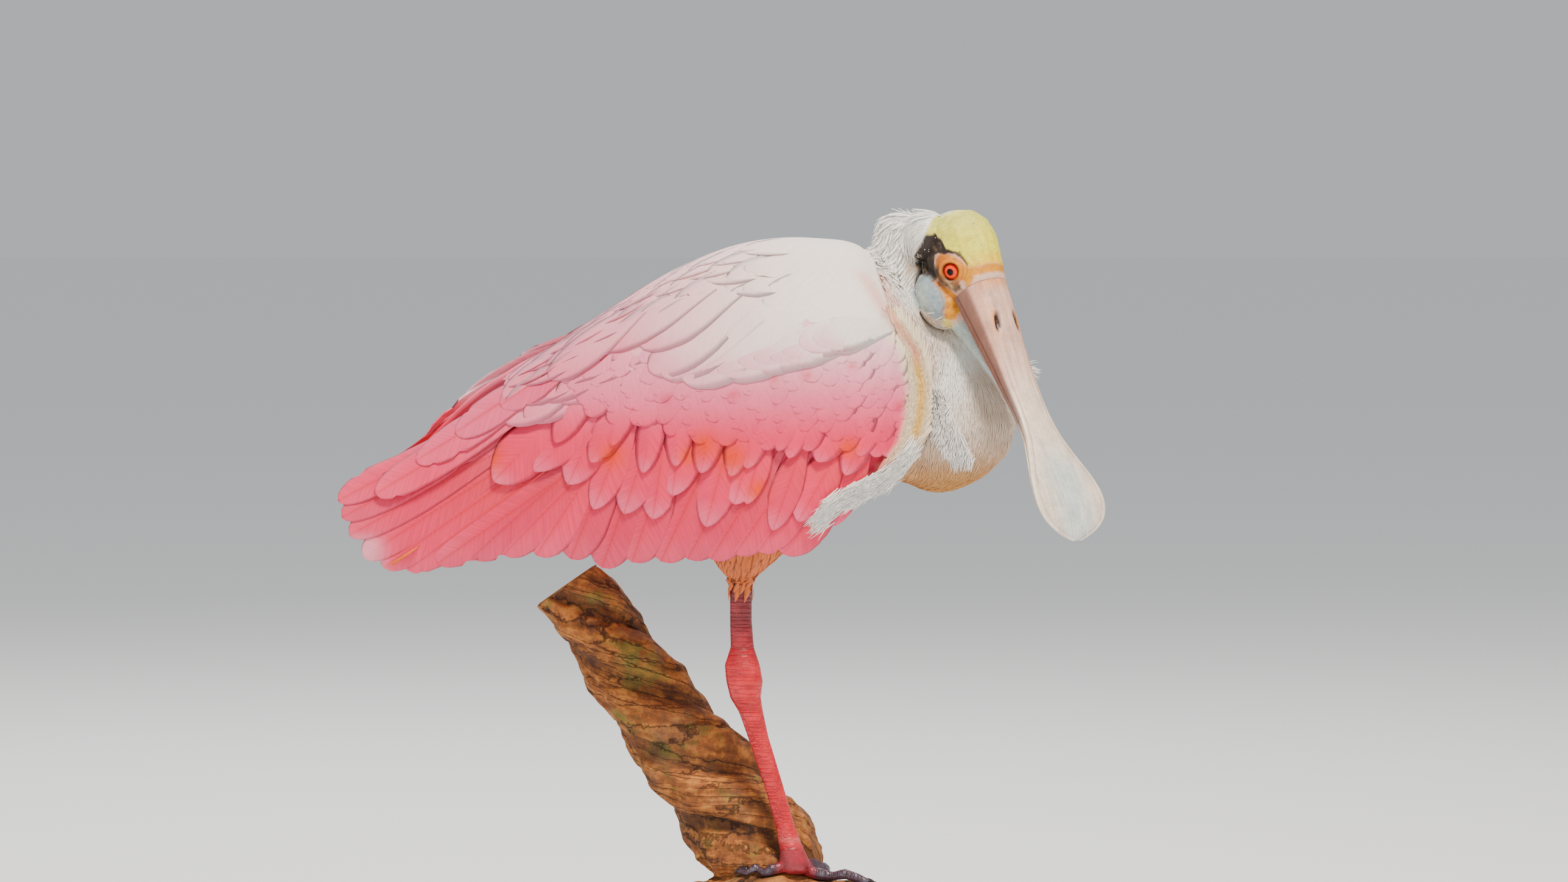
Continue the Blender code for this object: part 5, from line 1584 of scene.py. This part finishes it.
def body_unwrap(points):
    """An unwrap of the body's own round shape: along the body or down the neck, and round it."""
    x, y, z = (points / MM).T
    neck = (x > 84) & (z > 330)
    turn_neck = np.arctan2(y, x - 108) / (2 * math.pi) + 0.5
    turn_body = np.arctan2(y, z - 380) / (2 * math.pi) + 0.5
    along = np.where(neck, 0.55 + 0.4 * (z - 330) / 180, 0.03 + 0.5 * (x + 140) / 250)
    return np.stack([0.03 + 0.94 * np.where(neck, turn_neck, turn_body), along], axis=-1)


def coat(name, tree, roots, headings, length, half_width, t, shape, lifts, tints, options, curls=None):
    """A piece of coat on the skin, in one mesh. Length and half width are in millimetres."""
    draw = np.random.default_rng(options["seed"])
    lengths = length * MM * draw.uniform(0.85, 1.15, len(roots))
    halves = half_width * MM * draw.uniform(0.85, 1.15, len(roots))
    curls = np.zeros(len(roots)) if curls is None else curls
    middles, normals = lay_on_skin(tree, roots, headings, lengths, t, lifts, curls)
    uv = body_unwrap(roots)
    piece = feather_mesh(name, middles, normals, t, halves, shape, tints, uv, "small", options)
    return dressed(piece, plumage("body"))


# Places of painted shade in tan on the neck, by the ear, under the cheek and along the wing's front edge, in
# the side view: x, z, half width, half height and share.
PAINTED_SHADE_SPOTS = (
    (112, 438, 13, 6, 0.55), (100, 469, 4, 6, 0.6), (120, 424, 9, 8, 0.35),
    (111, 388, 5, 22, 0.6),
)


def neck_colour(points):
    """Neck and breast: white, with painted shade in gold low down and in tan below the bill, by the ear and
    under the cheek, and coral by the wing.
    """
    x, z = points[..., 0] / MM, points[..., 2] / MM
    # Painted shade: gold on the lower breast, which faces away from the light above.
    low = 0.7 * ease(375, 338, z) + 0.25 * ease(402, 370, z)
    colour = mix(settings().neck_white, "CE8E36", low)
    # Painted shade: tan at the front of the neck below the bill.
    colour = mix(colour, "C29460", 0.5 * ease(124, 142, x) * ease(420, 400, z) * (1 - low))
    # Painted shade in tan at each of these places.
    for spot_x, spot_z, wide, high, share in PAINTED_SHADE_SPOTS:
        colour = mix(colour, "CE9C62", share * bell(x, spot_x, wide) * bell(z, spot_z, high))
    by_wing = bell(edge_distance(points), -5, 6) * ease(395, 420, z) * (z < 468)
    return mix(colour, "F6A088", 0.5 * by_wing)


def neck_tint(points, t, s):
    """The colours of neck and breast, in a shade for each feather."""
    return neck_colour(points) * per_feather(points, 0.96, 1.02, 6)


def belly_colour(points):
    """Belly, flanks and thighs: orange buff, deepened by painted shade under the body and darkest low down,
    and pink over the rump.
    """
    z = points[..., 2] / MM
    # Orange buff, part the feathers' own colour and part painted shade under the body.
    colour = mix("EE8A48", "F6AE88", 0.5 * ease(310, 350, z))
    # Painted shade: darker orange low on the belly and thighs.
    colour = mix(colour, "C9501C", 0.5 * ease(318, 292, z))
    return mix(colour, "F87E94", 0.85 * ease(352, 370, z))


def belly_tint(points, t, s):
    """The colours of belly, flanks and thighs, in a shade for each feather."""
    return belly_colour(points) * per_feather(points, 0.88, 1.06, 7)


# The curled white tuft down the right of the breast: x, z and half width of its middle line.
TUFT_LINE = ((114, 402, 3), (117, 392, 5), (120, 378, 7), (125, 366, 8), (132, 355, 7))


def on_column(points):
    """Whether points belong to the neck and breast rather than the body."""
    x, _, z = (points / MM).T
    behind = np.where(z > 415, edge_distance(points) < 5, x > 84)
    return (feathered(points) > 0.5) & (x > 70) & (z > 325) & (behind | (z > 470))


def column_headings(roots, draw, spread):
    """Feathers point down the neck, and away from the face near it."""
    z = roots[:, 2] / MM
    down = np.array((-0.22, 0, -1)) + np.zeros(roots.shape)
    down[:, 0] -= 0.7 * ease(352, 332, z) + 1.4 * ease(490, 503, z)
    away = roots / MM - HEAD_MIDDLE
    near = bell(np.linalg.norm(away, axis=1), 0, 34)
    down += 1.6 * near[:, None] * unit(away)
    return down + draw.uniform(-spread, spread, down.shape)


def column_coat(tree, mesh):
    """White feathers of neck and breast: a fine flat layer, wisps on the nape and a curled tuft."""
    draw = np.random.default_rng(2)
    length = settings().neck_feather / MM
    t = stations(5, 1.1)
    shape = outline(t, 0.6, 0.35, 1.4, 0.08)
    roots = scattered(mesh, 1.75, on_column, 1)
    options = dict(seed=41, camber=0.12, thick=0.1 * MM, ragged=0.1)
    heights = np.quantile(roots[:, 2], (0, 1 / 3, 2 / 3, 1))
    for part, (low, high) in enumerate(zip(heights[:-1], heights[1:])):
        some = roots[(roots[:, 2] >= low) & (roots[:, 2] < high)]
        headings = column_headings(some, draw, 0.13)
        curls = draw.uniform(0, 0.05, len(some))
        name = f"neck_feathers_{part + 1}"
        coat(name, tree, some, headings, length, 0.7, t, shape, (-0.1, 0.42), neck_tint, options, curls)

    def on_nape(points):
        x, _, z = (points / MM).T
        return on_column(points) & (z > 462) & (x < 97 + 16 * (z > 499))

    t = stations(7, 1.1)
    roots = scattered(mesh, 4.8, on_nape, 5)
    headings = column_headings(roots, draw, 0.4)
    curls = draw.uniform(0.03, 0.26, len(roots))
    options = dict(seed=43, camber=0.3, thick=0.16 * MM, ragged=0.15)
    shape = outline(t, 0.6, 0.3, 1.4, 0.08)
    coat("neck_nape_wisps", tree, roots, headings, 10, 1.3, t, shape, (0.2, 1.3), neck_tint, options, curls)

    def on_tuft(points):
        x, y, z = (points / MM).T
        line_x, line_z, line_half = np.array(TUFT_LINE, float).T
        aside = np.abs(x - np.interp(-z, -line_z, line_x))
        inside = aside < np.interp(-z, -line_z, line_half)
        return on_column(points) & inside & (y < -8) & (z < 402) & (z > 354)

    roots = scattered(mesh, 1.15, on_tuft, 6)
    clump = np.stack([ripple(roots, 7, seed) for seed in (31, 32, 33)], axis=-1)
    headings = column_headings(roots, draw, 0.2) + 0.9 * clump
    curls = draw.uniform(0.15, 0.3, len(roots)) + 0.35 * np.clip(ripple(roots, 6, 34), 0, 1)
    options = dict(seed=44, camber=0.3, thick=0.12 * MM, ragged=0.15)
    shape = outline(t, 0.7, 0.4, 1.4, 0.1)
    coat("breast_tuft", tree, roots, headings, 6.5, 0.5, t, shape, (0.3, 2.0), wispy_tint, options, curls)


# Where the down hangs: towards the bill, towards the crown, out to the right.
DOWN_PLACE = np.array((68, 0.5, -12.4))


def loose_down():
    """A small downy feather caught on the far edge of the bill."""
    seed, count = 91, 44
    draw = np.random.default_rng(seed)
    t = stations(7, 1.1)
    roots = DOWN_PLACE + draw.normal(0, 1, (count, 3)) * (1.8, 0.8, 0.2)
    ahead = unit(np.array((0.2, 0.15, -1)) + draw.normal(0, 0.42, (count, 3)) * (1, 0.8, 0.3))
    length = draw.uniform(6, 10, count)
    middles = roots[:, None] + ahead[:, None] * (length[:, None] * t)[..., None]
    middles[:, :, 0] += 1.6 * t**2
    side = unit(np.cross(ahead, draw.normal(0, 1, (count, 3)))) @ HEAD_AXES
    normals = np.broadcast_to(side[:, None], middles.shape)
    uv = np.full((count, 2), 0.97)
    options = dict(seed=seed, camber=0.2, thick=0.1 * MM, ragged=0.3)
    halves = draw.uniform(0.35, 0.6, count) * MM
    shape = outline(t, 0.6, 0.4, 1.3)
    name = "neck_loose_down"
    made = feather_mesh(name, from_head(middles), normals, t, halves, shape, wispy_tint, uv, "small", options)
    dressed(made, plumage("body"))


def on_under(points):
    """Whether points lie on the belly, flanks and thighs, below the wings."""
    x, y, z = (points / MM).T
    inside = (np.abs(y) < wing_half_width(x, z) + 0.5) & (z > 334) & (x > -100)
    return (feathered(points) > 0.6) & ~on_column(points) & ~inside & ((z < 372) & (x > -125) | (x < -62))


def under_coat(tree, mesh):
    """Buff feathers of belly, flanks and thighs, pointing back, and down on the standing thigh."""
    draw = np.random.default_rng(4)
    roots = scattered(mesh, 3.6, on_under, 3)
    x, y, z = (roots / MM).T
    thigh = (z < 312) & (x > -32) & (y < 0)
    headings = np.where(thigh[:, None], (-0.3, 0, -1), (-1.0, 0, -0.25))
    headings += draw.uniform(-0.18, 0.18, headings.shape)
    t = stations(5, 1.1)
    shape = outline(t, 0.55, 0.4, 1.4, 0.08)
    options = dict(seed=42, camber=0.2, thick=0.16 * MM, ragged=0.1)
    coat("belly_feathers", tree, roots, headings, 13, 2.5, t, shape, (-0.3, 1.3), belly_tint, options)


def body_coats():
    """Small feathers over neck, breast, belly and thighs, laid on the skin."""
    skin_obj = bpy.data.objects["skin"]
    tree = BVHTree.FromObject(skin_obj, bpy.context.evaluated_depsgraph_get())
    column_coat(tree, skin_obj.data)
    under_coat(tree, skin_obj.data)
    loose_down()


# How far forward the mantle reaches: angle from the top of the back in degrees, and x.
MANTLE_FRONT = ((0, 30, 48, 60, 72), (76, 79, 84, 91, 101))
MANTLE_RANKS, MANTLE_ABREAST, MANTLE_SETBACK = (100, -96, -11.0), 9, 15
CAPE_LIFT, CAPE_SPREAD, CAPE_REAR, CAPE_DEPTH = 3.7, 72, -128, 1.2


def cape():
    """The smooth closed layer that the mantle's feathers make together, with only their tips above it."""
    angles, shares = np.linspace(-CAPE_SPREAD, CAPE_SPREAD, 121), np.linspace(0, 1, 130)
    angle, share = np.meshgrid(angles, shares, indexing="ij")
    front = np.interp(np.abs(angle), *MANTLE_FRONT)
    rear = CAPE_REAR + 26 * (np.abs(angle) / CAPE_SPREAD) ** 2
    x = front + (rear - front) * share
    edge = np.minimum(np.minimum(share, 1 - share) * 12, (CAPE_SPREAD - np.abs(angle)) / 6)
    lift = CAPE_LIFT - 1.3 * ease(1, 0, edge) - 1.2 * ease(0.05, 0, share)
    outer, _ = dorsal_face(x, angle, lift)
    inner, _ = dorsal_face(x, angle, lift - CAPE_DEPTH)
    return coloured_shell("mantle_layer", outer, inner, mantle_tint, "body")


def mantle():
    """Broad soft feathers over the back, from the base of the neck to the rump."""
    draw = np.random.default_rng(9)
    spots = []
    for row, x in enumerate(np.arange(*MANTLE_RANKS)):
        for k in range(MANTLE_ABREAST):
            angle = -60 + 120 * (k + 0.25 + 0.5 * (row % 2)) / MANTLE_ABREAST + draw.uniform(-2, 2)
            if x < np.interp(abs(angle), *MANTLE_FRONT) - MANTLE_SETBACK:
                spots.append((x + draw.uniform(-2, 2), angle))
    root_x, root_angle = np.array(spots).T
    t = stations(10)
    x = root_x[:, None] - settings().mantle_feather / MM * t
    angle = root_angle[:, None] * (1 + 0.1 * t)
    lift = CAPE_LIFT - 0.9 + 0.95 * ease(0.45, 1.0, t) + 0 * x
    middles, normals = dorsal_face(x, angle, lift)
    uv = np.stack([0.05 + 0.9 * (root_x + 180) / 300, 0.5 + 0.45 * root_angle / 70], axis=-1)
    options = dict(seed=51, camber=0.06, thick=0.08 * MM, ragged=0.02)
    shape = outline(t, 0.3, 0.6, 1.9)
    halves = draw.uniform(13, 17, len(spots)) * MM
    name = "mantle_feathers"
    piece = feather_mesh(name, middles, normals, t, halves, shape, mantle_tint, uv, "medium", options)
    return dressed(piece, plumage("body"))


class SPOONBILL_OT_coat(bpy.types.Operator):
    """The small feathers of neck, breast, belly, thighs and back"""

    bl_idname = "spoonbill.coat"
    bl_label = "Body coat"

    def execute(self, context):
        body_coats()
        cape()
        mantle()
        return {"FINISHED"}


# Tail

TAIL_ROOT = np.array((-135, 0, 350))
TAIL_SLOPE, TAIL_FAN = math.radians(37), math.radians(8)
TAIL_QUILLS, TAIL_LENGTH, TAIL_HALF_WIDTH = 12, 92, 9


def tail_tint(points, t, s):
    """Tail: orange, redder towards its frayed tips."""
    own = settings()
    colour = mix(own.tail_orange, "F6A488", 0.5 * (1 - t))
    colour = mix(colour, own.carmine, bell(s, 0, SHAFT_TINT_WIDTH) * 0.3)
    return colour * per_feather(points, 0.9, 1.06, 12)


def tail():
    """The tail's fan of quills, stacked towards the middle."""
    place = np.linspace(-1, 1, TAIL_QUILLS)
    t = stations(20)
    turn = TAIL_FAN * place
    down = np.full_like(turn, -math.sin(TAIL_SLOPE))
    heading = unit(np.stack([-math.cos(TAIL_SLOPE) * np.cos(turn), np.sin(turn), down], axis=-1))
    up = np.array((-math.sin(TAIL_SLOPE), 0, math.cos(TAIL_SLOPE)))
    back = np.array((-math.cos(TAIL_SLOPE), 0, -math.sin(TAIL_SLOPE)))
    start = TAIL_ROOT + back * 14 + np.stack([0 * place, place * 5, 0 * place], axis=-1)
    length = TAIL_LENGTH * (1 - 0.06 * place**2)
    stacked = (1 - np.abs(place)) * 4.5
    middles = start[:, None] + heading[:, None] * (length[:, None] * t)[..., None]
    middles = (middles + up * (stacked[:, None] * t)[..., None]) * MM
    normals = np.broadcast_to(up, middles.shape)
    options = dict(seed=61, camber=0.12, thick=0.3 * MM, ridge=0.4 * MM, ragged=0.08, split=0.25)
    uv = np.stack([0.1 + 0.8 * (place + 1) / 2, np.full_like(place, 0.5)], axis=-1)
    halves = np.full(TAIL_QUILLS, TAIL_HALF_WIDTH * MM)
    shape = outline(t, 0.4, 0.78, 1.8)
    return feather_mesh("tail_quills", middles, normals, t, halves, shape, tail_tint, uv, "fine", options)


class SPOONBILL_OT_tail(bpy.types.Operator):
    """The fan of tail quills"""

    bl_idname = "spoonbill.tail"
    bl_label = "Tail"

    def execute(self, context):
        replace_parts(dressed(tail(), plumage("quill")), "tail")
        return {"FINISHED"}


# Perch and stand


def bark_material():
    """Vine bark, weathered and stringy: cracks between raised fibres, flaking crusts and olive lichen, with
    painted shade deep in the grooves.
    """
    own = settings()
    finish = Finish("vine_bark_weathered", Roughness=0.85)
    grain, place = finish.unwrapped("grain"), finish.place()
    fibres = finish.noise(finish.stretched(grain, (0.26, 0.09, 1)), 1.0, 8.0, Roughness=0.6)
    crust = finish.noise(place, 1 / (8 * MM), 10.0, Roughness=0.72)
    lichen = finish.noise(place, 1 / (26 * MM), 10.0, Roughness=0.74)
    grey = finish.noise(place, 1 / (40 * MM), 10.0, Roughness=0.72)
    both = finish.blend(0.66, fibres, crust)
    stops = ((0.0, "1E0F08"), (0.38, "6C3E20"), (0.49, own.bark_brown), (0.57, "C47C34"), (0.74, "D29A54"))
    colours = finish.ramp(both, stops)
    where = finish.ranged(grey, 0.5, 0.64, 0.0, 0.55)
    colours = finish.blend_colours(where, colours, (*rgb("6A5440"), 1))
    where = finish.ranged(lichen, 0.53, 0.62, 0.0, 0.6)
    colours = finish.blend_colours(where, colours, (*own.lichen_green, 1))
    sawn = finish.stored("sawn")
    wood = finish.ramp(finish.noise(grain, 0.55, 3.0), ((0.35, "8A5A34"), (0.65, "C8985E")))
    colours = finish.blend_colours(sawn, colours, wood)
    long = finish.stretched(grain, (0.13, 0.028, 1))
    bent = finish.add("VectorMath", {0: long, 1: crust.node.outputs["Color"]}, operation="ADD").outputs[0]
    cracks = finish.ranged(finish.cells(bent, 0.75), 0.0, 0.04, 0.45, 1.0)
    cracks = finish.blend(sawn, cracks, 1.0)
    # Painted shade: the bark darkens with the depth of its grooves.
    dark = finish.ranged(finish.stored("painted_groove_shade"), 0.0, 1.0, 1.0, 0.36)
    finish.set("Base Color", finish.shaded(colours, cracks, dark))
    finish.bump(finish.maths("MULTIPLY", both, cracks), 1.0, 2.4)
    return finish.material


# Middle line and radius of the limb behind the leg and of the level branch below it.
LIMB_ROWS = (
    (-109, 44, 275, 23),
    (-84, 42, 239, 24.5),
    (-58, 39, 201, 27.5),
    (-28, 36, 161, 31),
    (-4, 33, 131, 34),
    (12, 29, 104, 34),
    (20, 22, 80, 30),
    (22, 16, 66, 25),
)
BRANCH_ROWS = (
    (-34, 14, 71, 21),
    (-8, 4, 75, 23.5),
    (26, -5, 77, 24),
    (60, -8, 75, 22.5),
    (92, -9, 73, 21),
    (118, -10, 72, 19.5),
)
VINE_PITCH = 175


def along_line(rows, points):
    """For each point: how far along a middle line it lies, its angle round it, and its distance from it."""
    line = curve_through([(i, *row) for i, row in enumerate(rows)])(np.linspace(0, len(rows) - 1, 160))
    centres = line[:, :3]
    steps = np.concatenate([[0], np.cumsum(np.linalg.norm(np.diff(centres, axis=0), axis=1))])
    heading = unit(np.gradient(centres, axis=0))
    right = unit(np.cross((0, 1, 0), heading))
    over = np.cross(right, heading)
    nearest = np.zeros(len(points), int)
    for start in range(0, len(points), 20000):
        block = points[start : start + 20000] / MM
        nearest[start : start + 20000] = np.linalg.norm(block[:, None] - centres[None], axis=2).argmin(axis=1)
    away = points / MM - centres[nearest]
    beyond = (away * heading[nearest]).sum(axis=1)
    angle = np.arctan2((away * over[nearest]).sum(axis=1), (away * right[nearest]).sum(axis=1))
    return steps[nearest] + beyond, angle, np.linalg.norm(away, axis=1), line[nearest, 3]


def perch():
    """The cut vine: wound strands with deep stringy grooves, and square sawn ends."""
    obj = merged_copy("vine_bark", ["perch"])
    apply_modifier(obj, "REMESH", mode="VOXEL", voxel_size=1.3 * MM)
    apply_modifier(obj, "SMOOTH", factor=0.5, iterations=6)
    mesh = obj.data
    points, normals = vertex_array(mesh), vertex_array(mesh, "normal")
    limb, branch = along_line(LIMB_ROWS, points), along_line(BRANCH_ROWS, points)
    on_limb = limb[2] / limb[3] < branch[2] / branch[3]
    step, angle, away, radius = [np.where(on_limb, a, b) for a, b in zip(limb, branch)]
    turned = 2 * math.pi * step / VINE_PITCH
    strand = np.cos(3 * (angle - turned) + 0.7 * ripple(points, 30, 3))
    cord = np.cos(8 * (angle - turned) + 4.5 * ripple(points, 34, 6) + 1.6 * ripple(points, 12, 16))
    groove = ease(-0.5, -0.98, strand) * 0.9 + ease(-0.55, -1.0, cord) * 0.45
    groove *= 0.6 + 0.6 * np.clip(0.5 + ripple(points, 20, 17), 0, 1)
    knobs = np.clip(ripple(points, 17, 8), 0, 1)
    tilt, level = unit(np.array((-0.5, 0.05, 0.86))), unit(np.array((0.99, -0.04, -0.05)))
    x, _, z = (points / MM).T
    face = (np.abs(normals @ tilt) > 0.93) & (z > 262)
    face |= (np.abs(normals @ level) > 0.9) & ((x > 109) | (x < -44)) & (z < 110)
    push = -2.1 * groove + 1.5 * knobs + 0.6 * ripple(points, 6, 9) - 0.3
    push = np.where(face, 0, np.minimum(push, 1.2))
    set_vertices(mesh, points + normals * (push * MM)[:, None])
    # Groove depth, kept for the painted shade that darkens the bark in its grooves.
    store(mesh, "painted_groove_shade", np.where(face, 0, np.clip(groove, 0, 1)))
    store(mesh, "sawn", face)
    wound = angle - turned
    wrapped = np.stack([np.cos(wound) * radius * 1.3 + np.sin(wound) * radius * 0.9, step], axis=-1)
    unwrap(mesh, "grain", np.where(face[:, None], np.stack([away * 1.1, 0 * away], axis=-1), wrapped))
    mesh.shade_smooth()
    return obj


def wood_material():
    """Hardwood base, planed and oiled: long darker grain lines under a low satin sheen."""
    finish = Finish("hardwood_oiled")
    stretch = finish.stretched(finish.place(), (6, 60, 60))
    grain = finish.noise(stretch, 2.2, 8.0, Distortion=0.6)
    pores = finish.noise(stretch, 22.0)
    stops = ((0.3, "1E130C"), (0.55, settings().base_wood), (0.8, "5A3E2A"))
    finish.set("Base Color", finish.ramp(grain, stops))
    finish.set("Roughness", finish.ranged(pores, 0.3, 0.7, 0.3, 0.5))
    finish.bump(pores, 0.15, 0.2)
    return finish.material


def brass_material():
    """Brass rod, drawn and lacquered: faint lines along it blur the highlights."""
    finish = Finish("brass_drawn_lacquered", Metallic=1.0, Base_Color=(*rgb("B08D48"), 1))
    lines = finish.noise(finish.stretched(finish.place(), (1400, 1400, 30)), 1.0)
    finish.set("Roughness", finish.ranged(lines, 0.3, 0.7, 0.22, 0.42))
    return finish.material


class SPOONBILL_OT_perch(bpy.types.Operator):
    """The cut length of vine"""

    bl_idname = "spoonbill.perch"
    bl_label = "Perch"

    def execute(self, context):
        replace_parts(dressed(perch(), bark_material()), "perch")
        return {"FINISHED"}


class SPOONBILL_OT_stand(bpy.types.Operator):
    """Finishes for the base and its rods"""

    bl_idname = "spoonbill.stand"
    bl_label = "Stand"

    def execute(self, context):
        finishes = {"stand_base": wood_material()}
        finishes["stand_rod_1"] = finishes["stand_rod_2"] = brass_material()
        for node, finish in finishes.items():
            for slot in NODES[node].material_slots:
                slot.material = finish
        return {"FINISHED"}


# Stage

SKY_STRENGTH = 0.62
CAMERA_AIM = Vector((0.0233, 0, 0.3642))
CAMERA_DISTANCE, CAMERA_LENS, CAMERA_ELEVATION = 4.0, 151, math.radians(2.5)


def floor_material():
    """Seamless studio floor, matt pale card."""
    finish = Finish("card_pale_matt", Roughness=0.9)
    fibre = finish.noise(finish.place(), 400.0)
    finish.set("Base Color", finish.ramp(fibre, ((0.0, "F7F8F9"), (1.0, "FBFCFD"))))
    return finish.material


def area_light(name, place, size, power, colour):
    """A round soft light aimed at the bird."""
    data = bpy.data.lights.new(name, "AREA")
    data.shape = "DISK"
    data.size = size
    data.energy = power
    data.color = linear(colour)
    lamp = bpy.data.objects.new(name, data)
    lamp.location = place
    lamp.rotation_euler = (Vector(place) - Vector((0, 0, 0.3))).to_track_quat("Z", "Y").to_euler()
    bpy.context.scene.collection.objects.link(lamp)


class SPOONBILL_OT_stage(bpy.types.Operator):
    """Floor, backdrop, lights and camera"""

    bl_idname = "spoonbill.stage"
    bl_label = "Stage"

    def execute(self, context):
        bpy.ops.object.select_all(action="DESELECT")
        bpy.ops.mesh.primitive_plane_add(size=60, location=(0, 0, 0))
        floor = context.active_object
        floor.name = "studio_floor"
        floor.data.materials.append(floor_material())
        world = bpy.data.worlds.new("studio")
        world.use_nodes = True
        background = world.node_tree.nodes["Background"]
        background.inputs["Color"].default_value = (*linear("EAEDF0"), 1)
        background.inputs["Strength"].default_value = SKY_STRENGTH
        context.scene.world = world
        area_light("key", (0.5, -1.7, 3.0), 0.7, 160, "FFF4E4")
        area_light("fill", (-1.6, -2.6, 1.0), 1.8, 12, "F8F8FF")
        area_light("rim", (-0.4, 1.9, 2.2), 1.2, 40, "FFFFFF")
        data = bpy.data.cameras.new("camera")
        data.lens = CAMERA_LENS
        camera = bpy.data.objects.new("camera", data)
        away = Vector((0, -math.cos(CAMERA_ELEVATION), math.sin(CAMERA_ELEVATION)))
        camera.location = CAMERA_AIM + away * CAMERA_DISTANCE
        camera.rotation_euler = away.to_track_quat("Z", "Y").to_euler()
        context.scene.collection.objects.link(camera)
        context.scene.camera = camera
        return {"FINISHED"}


class SPOONBILL_PT_panel(bpy.types.Panel):
    """Lists the pieces in the order they are made"""

    bl_idname = "SPOONBILL_PT_panel"
    bl_label = "Roseate spoonbill"
    bl_space_type = "VIEW_3D"
    bl_region_type = "UI"
    bl_category = "Spoonbill"

    def draw(self, context):
        for operator in OPERATORS:
            self.layout.operator(operator.bl_idname)
        for key in SpoonbillSettings.__annotations__:
            self.layout.prop(context.scene.spoonbill, key)


OPERATORS = (
    SPOONBILL_OT_skin,
    SPOONBILL_OT_claws,
    SPOONBILL_OT_eyes,
    SPOONBILL_OT_bill,
    SPOONBILL_OT_wings,
    SPOONBILL_OT_coat,
    SPOONBILL_OT_tail,
    SPOONBILL_OT_perch,
    SPOONBILL_OT_stand,
    SPOONBILL_OT_stage,
)


def register():
    for item in (SpoonbillSettings, *OPERATORS, SPOONBILL_PT_panel):
        bpy.utils.register_class(item)
    bpy.types.Scene.spoonbill = bpy.props.PointerProperty(type=SpoonbillSettings)


def unregister():
    del bpy.types.Scene.spoonbill
    for item in (SPOONBILL_PT_panel, *reversed(OPERATORS), SpoonbillSettings):
        bpy.utils.unregister_class(item)


def main():
    register()
    bpy.ops.spoonbill.skin()
    bpy.ops.spoonbill.claws()
    bpy.ops.spoonbill.eyes()
    bpy.ops.spoonbill.bill()
    bpy.ops.spoonbill.wings()
    bpy.ops.spoonbill.coat()
    bpy.ops.spoonbill.tail()
    bpy.ops.spoonbill.perch()
    bpy.ops.spoonbill.stand()
    bpy.ops.spoonbill.stage()


if __name__ == "__main__":
    main()
